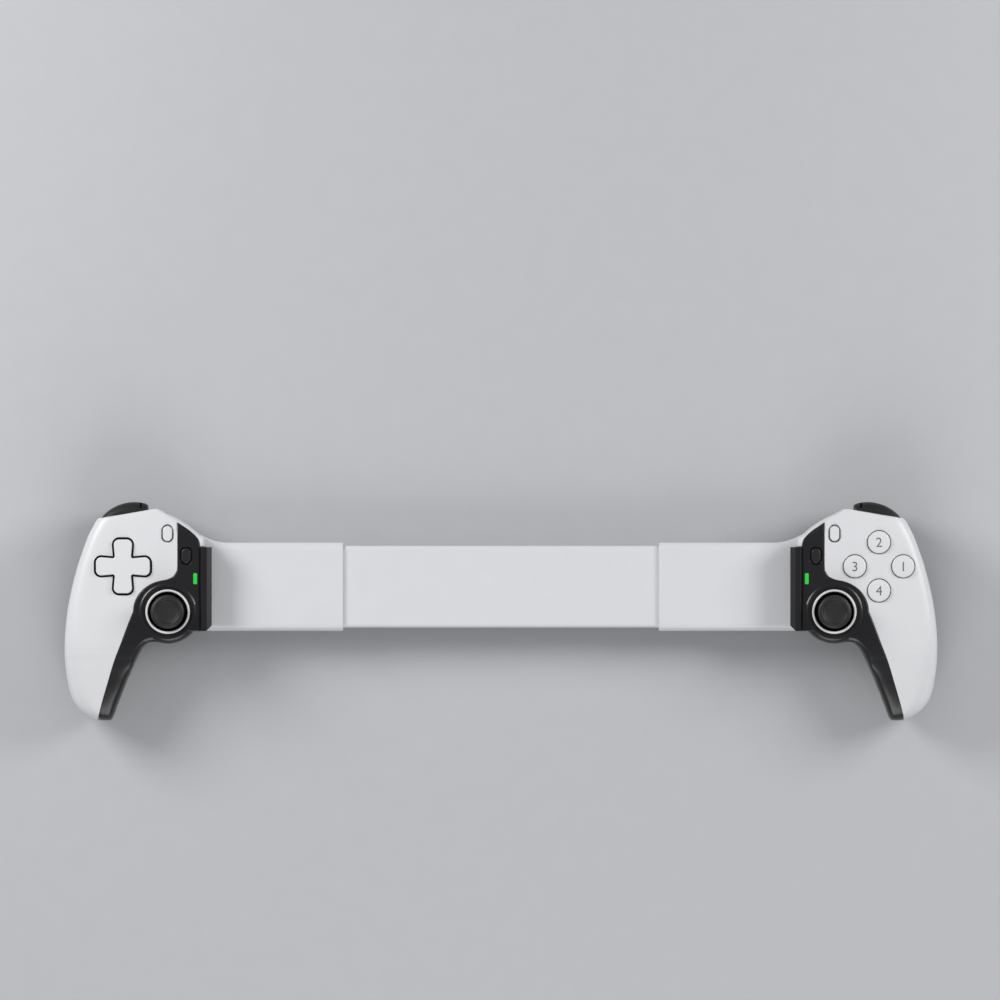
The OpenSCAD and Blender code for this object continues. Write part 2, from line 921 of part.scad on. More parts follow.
module action_button(k) {
    top = front_z + button_proud;
    edge = 0.6;
    color(WHITE)
        on_side("right")
            translate(cluster_at + button_pitch * [cos(90 * k), sin(90 * k)])
                rotate_extrude()
                    polygon([[0, flange_top - flange_t],
                        [button_d / 2 + button_gap + flange_w, flange_top - flange_t],
                        [button_d / 2 + button_gap + flange_w, flange_top],
                        [button_d / 2, flange_top], [button_d / 2, top - edge],
                        [button_d / 2 - edge, top], [0, top]]);
}

module direction_pad() {
    color(WHITE)
        on_side("left")
            translate(cluster_at)
                difference() {
                    union() {
                        along_z(dpad_pivot_z, front_z + dpad_proud)
                            dpad_outline(0);
                        translate([0, 0, dpad_pivot_z - 0.1])
                            cylinder(r = dpad_plate_r, h = dpad_plate_t);
                    }
                    translate([0, 0, dpad_pivot_z])
                        sphere(rocker_ball_r + fit);
                }
}

module direction_rocker() {
    foot = board_front + 0.3;
    color(STEEL)
        on_side("left")
            translate(cluster_at) {
                translate([0, 0, dpad_pivot_z])
                    sphere(rocker_ball_r);
                translate([0, 0, foot])
                    cylinder(r = rocker_ball_r - 0.7, h = dpad_pivot_z - foot);
            }
}

module light_window(side) {
    color([0.2, 0.85, 0.3])
        on_side(side)
            translate(light_at) {
                along_z(flange_top - 1, front_z + 0.1)
                    stadium(light_size[0], light_size[1]);
                along_z(flange_top - 1, flange_top)
                    stadium(light_size[0] + 1, light_size[1] + 1);
            }
}

// Stick

yoke_r = 3.4;
yoke_bore = 2.3;
yoke_h = 2.4;
yoke_pin_d = 1.8;
stem_pin_d = 1.4;
base_r = 7.2;

module stick_ring(side) {
    color(WHITE)
        on_side(side)
            translate(stick_at)
                rotate_extrude()
                    translate([stick_ring_d / 2 - stick_ring_w, front_z - grip_wall])
                        polygon([[0, 0], [stick_ring_w, 0], [stick_ring_w, grip_wall + 0.5],
                            [stick_ring_w - 0.3, grip_wall + 0.8], [0.3, grip_wall + 0.8],
                            [0, grip_wall + 0.5]]);
}

module stick_base(side) {
    floor_t = 0.5;
    base_wall = 1.5;
    z0 = board_front + seat_gap / 2;
    z1 = stick_pivot_z + 1.5;
    color(DARK)
        on_side(side)
            difference() {
                translate(stick_at)
                    rotate_extrude()
                        polygon([[0, z0], [base_r, z0], [base_r, z1], [base_r - base_wall, z1],
                            [base_r - base_wall, z0 + floor_t], [0, z0 + floor_t]]);
                translate([stick_at[0], stick_at[1], stick_pivot_z])
                    rotate([0, 90, 0])
                        cylinder(d = yoke_pin_d + 2 * fit, h = 20, center = true);
            }
}

module stick_yoke(side) {
    color(STEEL)
        on_side(side)
            translate([stick_at[0], stick_at[1], stick_pivot_z])
                difference() {
                    union() {
                        cylinder(r = yoke_r, h = yoke_h, center = true);
                        rotate([0, 90, 0])
                            cylinder(d = yoke_pin_d, h = 2 * base_r - 0.2, center = true);
                    }
                    cylinder(r = yoke_bore, h = yoke_h + 2, center = true);
                    rotate([90, 0, 0])
                        cylinder(d = stem_pin_d + 2 * fit, h = 3 * yoke_r, center = true);
                }
}

module stick_stem(side) {
    color(STEEL)
        on_side(side)
            translate([stick_at[0], stick_at[1], stick_pivot_z]) {
                translate([0, 0, -1.3])
                    cylinder(d = stem_d, h = stem_top - stick_pivot_z + 1.3);
                rotate([90, 0, 0])
                    cylinder(d = stem_pin_d, h = 2 * yoke_r - 0.2, center = true);
            }
}

// Cap with a dished top, a neck over the stem and a dome that closes the opening
module stick_cap(side) {
    cap_r = stick_cap_d / 2;
    dish_r = cap_r - 1.9;
    dish_depth = 0.9;
    dome_t = 0.9;
    neck_r = stem_d / 2 + fit + 1.5;
    bore_r = stem_d / 2 + fit;
    rim_angle = 15;
    crown = dome_r - stick_press;
    color(BLACK)
        on_side(side)
            translate([stick_at[0], stick_at[1], 0])
                difference() {
                    rotate_extrude() {
                        translate([0, stick_pivot_z])
                            intersection() {
                                difference() {
                                    circle(dome_r, $fn = 64);
                                    circle(dome_r - dome_t, $fn = 64);
                                }
                                translate([0, dome_r * sin(rim_angle)])
                                    square([20, 20]);
                            }
                        translate([0, stick_pivot_z + crown - 1])
                            square([neck_r, cap_z - stick_pivot_z - crown + 1.5]);
                        polygon([[0, cap_z], [cap_r - 1.4, cap_z], [cap_r, cap_z + 1],
                            [cap_r, cap_z + cap_t - 0.8], [cap_r - 0.8, cap_z + cap_t],
                            [dish_r, cap_z + cap_t], [dish_r - 1, cap_z + cap_t - dish_depth],
                            [0, cap_z + cap_t - dish_depth - 0.4]]);
                    }
                    translate([0, 0, stick_pivot_z + dome_r - 3])
                        cylinder(r = bore_r, h = stem_top + stick_press + 0.3 - stick_pivot_z - dome_r + 3);
                }
}

// Shoulder

module bumper(side) {
    color(BLACK)
        on_side(side) {
            difference() {
                along_z(bumper_back, bumper_front)
                    bumper_outline(0);
                along_z(bumper_back - 1, bumper_front + 1)
                    translate([bumper_inner + 3, bumper_top - 1.9])
                        square([0.5, 3]);
            }
            bumper_peg(0);
        }
}

module trigger(side) {
    hub_r = pin_d / 2 + 1.6;
    v0 = trigger_pivot[0];
    z0 = trigger_pivot[1];
    color(BLACK)
        on_side(side)
            difference() {
                union() {
                    intersection() {
                        along_u(trigger_inner, trigger_outer)
                            polygon([[v0, z0 - 2.2], [v0, trigger_top], [v0 + 10, trigger_top],
                                [v0 + 10, z0 - 3], [v0 + 9.3, z0 - 8.5], [v0 + 7.6, z0 - 12.5],
                                [v0 + 5.6, z0 - 14.4], [v0 + 4.3, z0 - 13.8],
                                [v0 + 4.2, z0 - 9.5], [v0 + 3.6, z0 - 5.5], [v0 + 2, z0 - 3]]);
                        along_z(-1, front_z)
                            translate(bumper_at)
                                circle(bumper_r - 1.4, $fn = 96);
                    }
                    trigger_axis(trigger_inner, trigger_outer, 2 * hub_r);
                }
                trigger_axis(trigger_inner - 1, trigger_outer + 1, pin_d + 2 * fit);
                along_u(spring_u[0] - 0.4, spring_u[1] + 0.4)
                    translate([v0 - hub_r - 1, z0 - hub_r - 0.4])
                        square([2 * hub_r + 1.4, 10]);
            }
}

module trigger_pin(side) {
    color(STEEL)
        on_side(side)
            trigger_axis(trigger_inner - 2, trigger_outer + 2, pin_d);
}

module trigger_spring(side) {
    color(STEEL)
        on_side(side)
            difference() {
                trigger_axis(spring_u[0], spring_u[1], pin_d + 2.6);
                trigger_axis(spring_u[0] - 1, spring_u[1] + 1, pin_d + 0.6);
            }
}

module grip_piece(side, piece) {
    if (piece == "front_shell") front_shell(side);
    if (piece == "panel") panel(side);
    if (piece == "rear_shell") rear_shell(side);
    if (piece == "sleeve") sleeve(side);
    if (piece == "jaw") jaw(side);
    if (piece == "jaw_pad") jaw_pad(side);
    if (piece == "board") board(side);
    if (piece == "screws") screws(side);
    if (piece == "light_window") light_window(side);
    if (piece == "stick_ring") stick_ring(side);
    if (piece == "stick_base") stick_base(side);
    if (piece == "stick_yoke") stick_yoke(side);
    if (piece == "stick_stem") stick_stem(side);
    if (piece == "stick_cap") stick_cap(side);
    if (piece == "bumper") bumper(side);
    if (piece == "trigger") trigger(side);
    if (piece == "trigger_pin") trigger_pin(side);
    if (piece == "trigger_spring") trigger_spring(side);
    if (piece == "keypad") keypad(side);
}

centre_front_cover();
centre_rear_tray();
link_cable();
centre_screws();
for (side = SIDES, piece = COMMON)
    grip_piece(side, piece);
shell_oval("left");  // left_select_button
panel_oval("left");  // left_home_button
shell_oval("right");  // right_start_button
panel_oval("right");  // right_menu_button
direction_pad();
direction_rocker();
left_battery();
for (k = [0 : 3])
    action_button(k);
charging_socket();
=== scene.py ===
import json
from math import acos, atan, atan2, ceil, copysign, cos, degrees, radians, sin, sqrt, tan, tau

import bmesh
import bpy
from mathutils import Matrix, Vector

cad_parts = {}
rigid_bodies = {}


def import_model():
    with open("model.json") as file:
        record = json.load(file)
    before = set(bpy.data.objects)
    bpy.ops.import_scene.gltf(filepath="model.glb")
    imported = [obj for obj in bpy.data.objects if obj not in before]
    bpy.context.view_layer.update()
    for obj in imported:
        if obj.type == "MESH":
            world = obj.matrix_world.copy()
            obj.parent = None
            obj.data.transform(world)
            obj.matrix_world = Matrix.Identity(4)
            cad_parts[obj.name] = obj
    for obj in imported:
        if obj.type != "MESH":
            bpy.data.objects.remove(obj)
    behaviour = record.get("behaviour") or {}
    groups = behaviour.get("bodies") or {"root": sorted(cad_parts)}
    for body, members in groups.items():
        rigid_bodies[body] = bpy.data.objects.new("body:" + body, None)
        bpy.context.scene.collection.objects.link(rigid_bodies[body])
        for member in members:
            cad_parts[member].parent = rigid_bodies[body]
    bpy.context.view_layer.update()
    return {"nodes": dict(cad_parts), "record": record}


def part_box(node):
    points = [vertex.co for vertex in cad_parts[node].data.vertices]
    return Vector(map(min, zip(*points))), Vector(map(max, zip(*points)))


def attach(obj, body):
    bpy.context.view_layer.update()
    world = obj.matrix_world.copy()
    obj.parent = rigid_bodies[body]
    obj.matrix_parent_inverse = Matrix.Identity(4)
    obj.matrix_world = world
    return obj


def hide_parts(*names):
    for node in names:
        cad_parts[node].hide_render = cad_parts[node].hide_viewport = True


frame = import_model()
scene = bpy.context.scene
mm = 0.001
workshop = bpy.data.collections.new("workshop")  # cutters live here and are removed at the end
scene.collection.children.link(workshop)
sides = (("left", -1), ("right", 1))

# levels and places read from the frame, in mm
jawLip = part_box("right_jaw")[0].x / mm
bridgeY = (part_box("centre_front_cover")[0].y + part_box("centre_front_cover")[1].y) / 2 / mm
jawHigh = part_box("right_jaw")[1].y / mm - bridgeY
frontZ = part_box("right_front_shell")[1].z / mm
sleeveLow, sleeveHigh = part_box("right_sleeve")
sleeveBack = sleeveLow.z / mm
sleeveTop = sleeveHigh.z / mm
sleeveStart = sleeveLow.x / mm - jawLip
sleeveEnd = sleeveHigh.x / mm - jawLip
sleeveLowV = sleeveLow.y / mm - bridgeY
sleeveHighV = -sleeveLowV  # the flare on the upper edge is left aside
overZ = frontZ + 4  # cutters run from under the back to over the front
underZ = -4
farOff = 60
clearance = 0.1  # between neighbours that lie against each other
print("frame read: lip", round(jawLip, 2), "bridge", round(bridgeY, 2), "front", round(frontZ, 2))


# small tools for outlines; a local point is u outwards, v up the face, z off the table

def values(piece, names):  # several values of one piece's dictionary
    return [piece[name] for name in names.split()]


def polar(at, radius, angle):
    a = radians(angle)
    return (at[0] + radius * cos(a), at[1] + radius * sin(a))


def arc(at, radius, start, end, steps):
    return [polar(at, radius, start + (end - start) * k / steps) for k in range(steps + 1)]


def roundAt(angle):  # a point on a quarter round of radius 1: drawn in by, short of the end by
    a = radians(angle)
    return (1 - cos(a), 1 - sin(a))


def quarter(step):
    return [roundAt(angle) for angle in range(0, 91, step)]


def eased(t):  # 0 to 1 with level ends
    t = min(1, max(0, t))
    return t * t * (3 - 2 * t)


def circle(at, radius, steps):
    return arc(at, radius, 0, 360, steps)[:-1]


def stadium(at, width, height):
    r = width / 2
    lift = (height - width) / 2
    top = arc((at[0], at[1] + lift), r, 0, 180, 16)
    return top + arc((at[0], at[1] - lift), r, 180, 360, 16)


def rounded(corners, steps=6):  # corners are (u, v, radius)
    loop = []
    for k, (u, v, radius) in enumerate(corners):
        here = Vector((u, v))
        back, ahead = ((Vector(corners[j][:2]) - here).normalized() for j in (k - 1, k + 1 - len(corners)))
        half = back.angle(ahead) / 2
        if radius == 0 or half > radians(89.9):
            loop.append((u, v))
            continue
        reach = radius / tan(half)
        centre = here + (back + ahead).normalized() * radius / sin(half)
        first = here + back * reach - centre
        last = here + ahead * reach - centre
        sweep = first.angle_signed(last)
        for s in range(steps + 1):
            spoke = Matrix.Rotation(-sweep * s / steps, 2) @ first
            loop.append(tuple(centre + spoke))
    return loop


def barPlan(at, size, radius):
    (u, v), w, h = at, size[0] / 2, size[1] / 2
    corners = ((u - w, v - h), (u + w, v - h), (u + w, v + h), (u - w, v + h))
    return rounded([(*corner, radius) for corner in corners])


def smooth(points, steps):  # a smooth open curve through every point
    ends = [points[0]] + points + [points[-1]]
    loop = []
    for k in range(1, len(ends) - 2):
        a, b, c, d = (Vector(ends[k + j]) for j in (-1, 0, 1, 2))
        for s in range(steps):
            t = s / steps
            loop.append(tuple(0.5 * (2 * b + (c - a) * t + (2 * a - 5 * b + 4 * c - d) * t * t
                                     + (3 * b - a - 3 * c + d) * t ** 3)))
    return loop + [tuple(points[-1])]


def reading(value):  # a number, or a function of (u, v), as a function
    return value if callable(value) else lambda u, v: value


def grown(loop, by):  # the outline moved outwards by a distance
    twiceArea = sum(p[0] * q[1] - q[0] * p[1] for p, q in zip(loop, loop[1:] + loop[:1]))
    way = 1 if twiceArea > 0 else -1
    by = reading(by)
    out = []
    for k, point in enumerate(loop):
        here = Vector(point)
        a = (here - Vector(loop[k - 1])).normalized()
        b = (Vector(loop[(k + 1) % len(loop)]) - here).normalized()
        side = Vector((a.y + b.y, -a.x - b.x)) * way
        if side.length < 1e-6:
            side = Vector((b.y, -b.x)) * way
        side.normalize()
        lean = max(0.5, side.dot(Vector((b.y, -b.x)) * way))
        out.append(tuple(here + side * by(*point) / lean))
    return out


def monotone(xs, ys):  # a smooth reading of a table that never overshoots it
    steps = [(ys[k + 1] - ys[k]) / (xs[k + 1] - xs[k]) for k in range(len(xs) - 1)]
    slopes = [steps[0]]
    for a, b in zip(steps, steps[1:]):
        slopes.append(0 if a * b <= 0 else 2 * a * b / (a + b))
    slopes.append(steps[-1])

    def read(x):
        x = min(max(x, xs[0]), xs[-1])
        k = max(i for i in range(len(xs) - 1) if xs[i] <= x)
        h = xs[k + 1] - xs[k]
        t = (x - xs[k]) / h
        return ((1 + 2 * t) * (1 - t) ** 2 * ys[k] + t * (1 - t) ** 2 * h * slopes[k]
                + t * t * (3 - 2 * t) * ys[k + 1] + t * t * (t - 1) * h * slopes[k + 1])
    return read


# small tools for meshes

def edgesOf(verts):
    kept = set(verts)
    return list({e for v in verts for e in v.link_edges if e.verts[0] in kept and e.verts[1] in kept})


def addLoop(bm, points):
    verts = bmesh.ops.create_circle(bm, cap_ends=False, radius=1, segments=len(points))["verts"]
    for vert, point in zip(verts, points):
        vert.co = point
    return verts


def loft(loops, closed=False):  # closed bends the last loop back to the first
    bm = bmesh.new()
    rows = [addLoop(bm, points) for points in loops]
    pairs = list(zip(rows, rows[1:])) + ([(rows[-1], rows[0])] if closed else [])
    for a, b in pairs:
        bmesh.ops.bridge_loops(bm, edges=edgesOf(a) + edgesOf(b))
    if not closed:
        for row in (rows[0], rows[-1]):
            bmesh.ops.contextual_create(bm, geom=edgesOf(row))
    bmesh.ops.recalc_face_normals(bm, faces=bm.faces)
    return bm


def flat(outline, z):
    return [(u, v, reading(z)(u, v)) for u, v in outline]


def softTop(outline, low, top, edge):  # an upright prism with a round upper edge
    loops = [flat(outline, low)]
    return loops + [flat(grown(outline, -edge * x), top - edge * y) for x, y in quarter(15)]


def turned(at, profile, steps):  # profile of (radius, z), turned about an upright axis
    bm = bmesh.new()
    verts = [bm.verts.new((at[0] + r, at[1], z)) for r, z in profile]
    edges = [bm.edges.new(pair) for pair in zip(verts, verts[1:])]
    bmesh.ops.spin(bm, geom=verts + edges, cent=(at[0], at[1], 0), axis=(0, 0, 1), angle=tau,
                   steps=steps, use_merge=True)
    bmesh.ops.remove_doubles(bm, verts=bm.verts, dist=1e-5)
    bmesh.ops.recalc_face_normals(bm, faces=bm.faces)
    return bm


def block(low, high):
    bm = bmesh.new()
    made = bmesh.ops.create_cube(bm, size=1)["verts"]
    bmesh.ops.scale(bm, verts=made, vec=[h - l for l, h in zip(low, high)])
    bmesh.ops.translate(bm, verts=made, vec=[(h + l) / 2 for l, h in zip(low, high)])
    return bm


def added(name, data, home=workshop):
    obj = bpy.data.objects.new(name, data)
    home.objects.link(obj)
    return obj


def newObject(name, bm, home=workshop):
    mesh = bpy.data.meshes.new(name)
    bm.to_mesh(mesh)
    bm.free()
    return added(name, mesh, home)


def workBlock(name, low, high):
    return newObject(name, block(low, high))


def prism(name, outline, low, high):
    return newObject(name, loft([flat(outline, low), flat(outline, high)]))


def shaped(obj):  # the object's mesh, with its modifiers done
    bpy.context.view_layer.update()
    return bpy.data.meshes.new_from_object(obj.evaluated_get(bpy.context.evaluated_depsgraph_get()))


def stepsOf(operation):
    return lambda *pieces: [(operation, piece) for piece in pieces]


keep, cut, join = (stepsOf(operation) for operation in ("INTERSECT", "DIFFERENCE", "UNION"))


def carve(base, steps):  # steps come from keep, cut and join
    work = added(base.name + "_work", base.data.copy())
    for operation, cutter in steps:
        step = work.modifiers.new(cutter.name, "BOOLEAN")
        step.operation = operation
        step.object = cutter
        step.solver = "MANIFOLD"
    work.data = shaped(work)
    work.modifiers.clear()
    return work


def bmeshOf(obj):
    bm = bmesh.new()
    bm.from_mesh(obj.data)
    return bm


def dress(name, bm, slot, side, body, node=None, sharp=32, weighted=True):
    bmesh.ops.remove_doubles(bm, verts=bm.verts, dist=2e-4)
    bmesh.ops.dissolve_degenerate(bm, edges=bm.edges, dist=1e-5)
    flip = -1 if side < 0 else 1  # side 0 is the bridge
    place = Matrix.Translation((side * jawLip * mm, bridgeY * mm, 0))
    bmesh.ops.transform(bm, matrix=place @ Matrix.Diagonal((flip * mm, mm, mm, 1)), verts=bm.verts)
    if side < 0:
        bmesh.ops.reverse_faces(bm, faces=bm.faces)
    for face in bm.faces:
        face.smooth = True
    for edge in bm.edges:
        edge.smooth = len(edge.link_faces) == 2 and edge.calc_face_angle(0) < radians(sharp)
    obj = newObject(name, bm, scene.collection)
    obj.data.materials.append(finishes[slot])
    if weighted:
        even = obj.modifiers.new("evenShading", "WEIGHTED_NORMAL")
        even.keep_sharp = True
        even.weight = 70
    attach(obj, body)
    if node:  # finishes are named after the record's slots
        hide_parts(node)


# finishes: grain is the size of the moulded texture in mm, relief its depth in mm

def setInputs(node, inputs):
    for name, value in inputs.items():
        node.inputs[name].default_value = value


def moulded(name, colour, rough, grain, relief, vary, coat=0, sheen=0, metal=0, glow=0, stretch=(1, 1, 1)):
    material = bpy.data.materials.new(name)
    material.use_nodes = True
    nodes = material.node_tree.nodes
    shader = nodes["Principled BSDF"]
    setInputs(shader, {"Metallic": metal, "Sheen Weight": sheen, "Coat Weight": coat,
                       "Coat Roughness": 0.18})
    if glow:
        setInputs(shader, {"Emission Color": [*colour, 1], "Emission Strength": glow})
    place = nodes.new("ShaderNodeTexCoord")
    fit = nodes.new("ShaderNodeMapping")
    setInputs(fit, {"Scale": stretch})
    cloud = nodes.new("ShaderNodeTexNoise")  # broad, faint mottling of the colour
    setInputs(cloud, {"Scale": 90, "Detail": 4})
    tint = nodes.new("ShaderNodeValToRGB")
    dark, pale = tint.color_ramp.elements
    dark.position = 0.3
    pale.position = 0.7
    dark.color = [c * (1 - vary) for c in colour] + [1]
    pale.color = [c * (1 + vary) for c in colour] + [1]
    fine = nodes.new("ShaderNodeTexNoise")  # fine grain of the mould
    setInputs(fine, {"Scale": 1 / (grain * mm), "Detail": 3})
    gloss = nodes.new("ShaderNodeMapRange")
    setInputs(gloss, {"To Min": rough - 0.05, "To Max": rough + 0.05})
    bump = nodes.new("ShaderNodeBump")
    setInputs(bump, {"Strength": 0.6, "Distance": relief * mm})
    for source, output, target, entry in (
            (place, "Object", fit, "Vector"), (fit, "Vector", cloud, "Vector"), (cloud, "Fac", tint, "Fac"),
            (tint, "Color", shader, "Base Color"), (fit, "Vector", fine, "Vector"),
            (fine, "Fac", gloss, "Value"), (gloss, "Result", shader, "Roughness"),
            (fine, "Fac", bump, "Height"), (bump, "Normal", shader, "Normal")):
        material.node_tree.links.new(source.outputs[output], target.inputs[entry])
    return material


finishes = {  # colour, roughness, grain, relief and how much the colour varies
    "white_shell": moulded("satin white shell", (0.72, 0.72, 0.735), 0.36, 0.22, 0.012, 0.012),
    "white_bridge": moulded("satin white bridge", (0.70, 0.70, 0.72), 0.42, 0.22, 0.014, 0.012),
    "white_ring": moulded("white ring", (0.78, 0.78, 0.79), 0.3, 0.3, 0.006, 0.01),
    "white_button": moulded("white button", (0.74, 0.74, 0.755), 0.32, 0.25, 0.008, 0.012),
    "black_panel": moulded("black panel", (0.007, 0.007, 0.008), 0.32, 0.25, 0.012, 0.1, coat=0.1),
    "black_button": moulded("black button", (0.012, 0.012, 0.013), 0.36, 0.25, 0.01, 0.1),
    "dark_shell": moulded("dark grained shell", (0.026, 0.026, 0.029), 0.52, 0.55, 0.06, 0.12),
    "dark_inner": moulded("dark inner plastic", (0.03, 0.03, 0.033), 0.5, 0.4, 0.02, 0.1),
    "soft_rubber": moulded("soft rubber", (0.022, 0.022, 0.024), 0.72, 0.3, 0.03, 0.12, sheen=0.15),
    "stick_rubber": moulded("stick rubber", (0.01, 0.01, 0.011), 0.5, 0.3, 0.02, 0.12, sheen=0.05),
    "keypad_rubber": moulded("keypad rubber", (0.06, 0.06, 0.065), 0.65, 0.4, 0.02, 0.08),
    "circuit_board": moulded("circuit board", (0.012, 0.075, 0.03), 0.4, 1.6, 0.03, 0.3, coat=0.2),
    "green_light": moulded("green light", (0.02, 0.42, 0.04), 0.25, 0.4, 0.004, 0.04, glow=0.5),
    "battery_foil": moulded("battery foil", (0.42, 0.43, 0.45), 0.4, 0.8, 0.05, 0.08, metal=0.7),
    "steel": moulded("brushed steel", (0.46, 0.46, 0.48), 0.34, 0.12, 0.006, 0.08, metal=1,
                     stretch=(1, 1, 0.15)),
    "mark": moulded("grey mark", (0.16, 0.16, 0.18), 0.5, 0.3, 0.006, 0.03),
}
print("finishes:", len(finishes))

# the grip: one lofted form, and the same form drawn in for its hollow
grip = {
    # v, inner u, outer u, height of the back, drop of the front
    "stations": [
        (-62, 47.3, 52.4, 11, 12.5), (-61.2, 46.5, 54.9, 8.2, 10.4), (-59.5, 45.7, 58.3, 5.5, 8.5),
        (-56.5, 44.6, 62.1, 3.2, 6.9), (-52, 42.9, 65.1, 1.5, 5.4), (-46.5, 40.7, 66.8, 0.4, 4),
        (-42, 38.9, 67.6, 0.1, 3.1), (-40, 37.8, 67.9, 0, 2.7), (-37, 35.4, 68.2, 0.2, 2.1),
        (-34, 31.5, 68.4, 0.4, 1.6), (-31.5, 25, 68.5, 0.8, 1.1), (-30, 15, 68.5, 1.1, 0.9),
        (-29, 3, 68.5, 1.2, 0.8), (-27.5, -3, 68.5, 1.5, 0.6), (-20, -3, 68.1, 2.6, 0.2),
        (-11, -3, 67.1, 3, 0), (-3, -3, 65.6, 2.6, 0), (5, -3, 63.7, 1.3, 0),
        (11, -3, 62, 0.4, 0), (16, -3, 60.3, 0, 0), (21, 0, 58.5, 0.4, 0),
        (24.2, 5.6, 57.2, 1, 0.1), (28, 10.2, 55.2, 2.4, 0.3), (31.7, 16, 52.8, 4.6, 0.7),
        (33.6, 20, 42.5, 6.6, 1.1), (35, 22.6, 34, 9, 1.5), (35.5, 23.5, 31, 10.4, 1.8),
        (35.9, 24.5, 28.5, 11.7, 2.1), (36.1, 25.4, 27.1, 12.5, 2.4)],
    # by v: the ridge where the face is highest, and how square the front's two corners are
    "ridge": [(-62, 49.8), (-52, 54), (-40, 53), (-26, 50), (0, 46), (20, 38), (31.7, 32), (36.1, 26)],
    "innerPower": [(-62, 4.5), (-50, 7.5), (-40, 9), (-30, 10), (20, 10), (32, 7), (37, 7)],
    "outerPower": [(-62, 2.6), (-45, 3.2), (-20, 6), (37, 6)],
    "backPower": 3, "parting": frontZ - 16, "partingSlope": 0.06, "wall": 2, "seam": 0.15, "points": 128,
    "closeRows": [(-63, -50), (-41, -28), (31, 37)],  # stretches of v where the form bends quickly
    "rowGap": 1.1, "closeGap": 0.45,
    "insetMiddle": -1, "insetReach": 25, "leastHollow": 2,  # the hollow's rows draw in towards the middle
}
stationV = [s[0] for s in grip["stations"]]
readInner, readOuter, readBack, readDrop = (
    monotone(stationV, [s[k] for s in grip["stations"]]) for k in (1, 2, 3, 4))
readRidge, readInnerPower, readOuterPower = (
    monotone(*zip(*grip[name])) for name in ("ridge", "innerPower", "outerPower"))


def partingAt(v):
    return grip["parting"] + grip["partingSlope"] * v


def quadrant(v, front, outer):  # reach from the ridge, height from the seam, how square the corner is
    middle = readRidge(v)
    reach = readOuter(v) - middle if outer else middle - readInner(v)
    height = frontZ - readDrop(v) - partingAt(v) if front else partingAt(v) - readBack(v)
    power = grip["backPower"]
    if front:
        power = readOuterPower(v) if outer else readInnerPower(v)
    return reach, height, power


def faceHeight(u, v, front=True):  # height of the untrimmed form's front or back
    middle = readRidge(v)
    reach, height, power = quadrant(v, front, u > middle)
    across = min(abs(u - middle) / reach, 0.9995)
    bulge = (1 - across ** power) ** (1 / power)
    return partingAt(v) + (height if front else -height) * bulge


def gripSection(v, inset):
    middle = readRidge(v)
    shifted = v - inset * max(-1, min(1, (v - grip["insetMiddle"]) / grip["insetReach"]))
    loop = []
    for k in range(grip["points"]):
        turn = tau * k / grip["points"]
        x, y = (copysign(abs(part) ** 0.5, part) for part in (cos(turn), sin(turn)))  # closer at corners
        reach, height, power = quadrant(v, y >= 0, x >= 0)
        size = (abs(x) ** power + abs(y) ** power) ** (1 / power)
        loop.append((middle + (reach - inset) * x / size, shifted,
                     partingAt(v) + (height - inset) * y / size))
    return loop


def gripForm(name, inset):
    rows = []
    for a, b in zip(grip["stations"], grip["stations"][1:]):
        if inset > 0 and min(a[2] - a[1], b[2] - b[1]) < 2 * inset + grip["leastHollow"]:
            continue
        reach = max(abs(b[0] - a[0]), abs(b[1] - a[1]) / 2, abs(b[2] - a[2]) / 2)
        close = any(low < a[0] < high for low, high in grip["closeRows"])
        count = max(2, ceil(reach / grip["closeGap" if close else "rowGap"]))
        rows += [a[0] + (b[0] - a[0]) * k / count for k in range(count)]
        last = b[0]
    return newObject(name, loft([gripSection(v, inset) for v in rows + [last]]))


gripOuter = gripForm("gripOuter", 0)
gripHollow = gripForm("gripHollow", grip["wall"])
print("grip form:", len(gripOuter.data.polygons), "faces")

# stage: pale floor, soft lamps, and the camera straight above the front face
stage = {
    "eye": (-0.00046, 0.0516, 6.469),  # far off, with a long lens
    "lens": 500, "sensor": 36,
    "floor": (0.5, 0.505, 0.52), "floorSize": 6,
    "sky": (0.95, 0.97, 1, 1), "skyStrength": 0.29,
    # place, aim, size in metres, power in watts
    "lamps": [((-0.78, 0.48, 0.58), (0, 0.01, 0.02), 0.5, 7),
              ((0.86, 0.36, 0.58), (0, 0.01, 0.02), 0.5, 5.6),
              ((0, -0.75, 0.55), (0, 0, 0.02), 0.6, 2.8)],
}
bm = bmesh.new()
bmesh.ops.create_grid(bm, x_segments=1, y_segments=1, size=stage["floorSize"])
floor = newObject("floor", bm, scene.collection)
floor.data.materials.append(moulded("pale floor", stage["floor"], 0.6, 2, 0.01, 0.01))
for k, (place, aim, size, power) in enumerate(stage["lamps"]):
    lamp = bpy.data.lights.new(f"softbox{k + 1}", "AREA")
    lamp.shape = "DISK"
    lamp.size = size
    lamp.energy = power
    holder = added(f"softbox{k + 1}", lamp, scene.collection)
    holder.location = place
    holder.rotation_euler = (Vector(aim) - Vector(place)).to_track_quat("-Z", "Y").to_euler()
scene.world = bpy.data.worlds.new("studio")
scene.world.use_nodes = True
sky = scene.world.node_tree.nodes["Background"]
setInputs(sky, {"Color": stage["sky"], "Strength": stage["skyStrength"]})
camera = added("camera", bpy.data.cameras.new("camera"), scene.collection)
camera.data.lens = stage["lens"]
camera.data.sensor_width = stage["sensor"]
camera.location = stage["eye"]
scene.camera = camera
scene.view_settings.view_transform = "Standard"
print("stage ready")

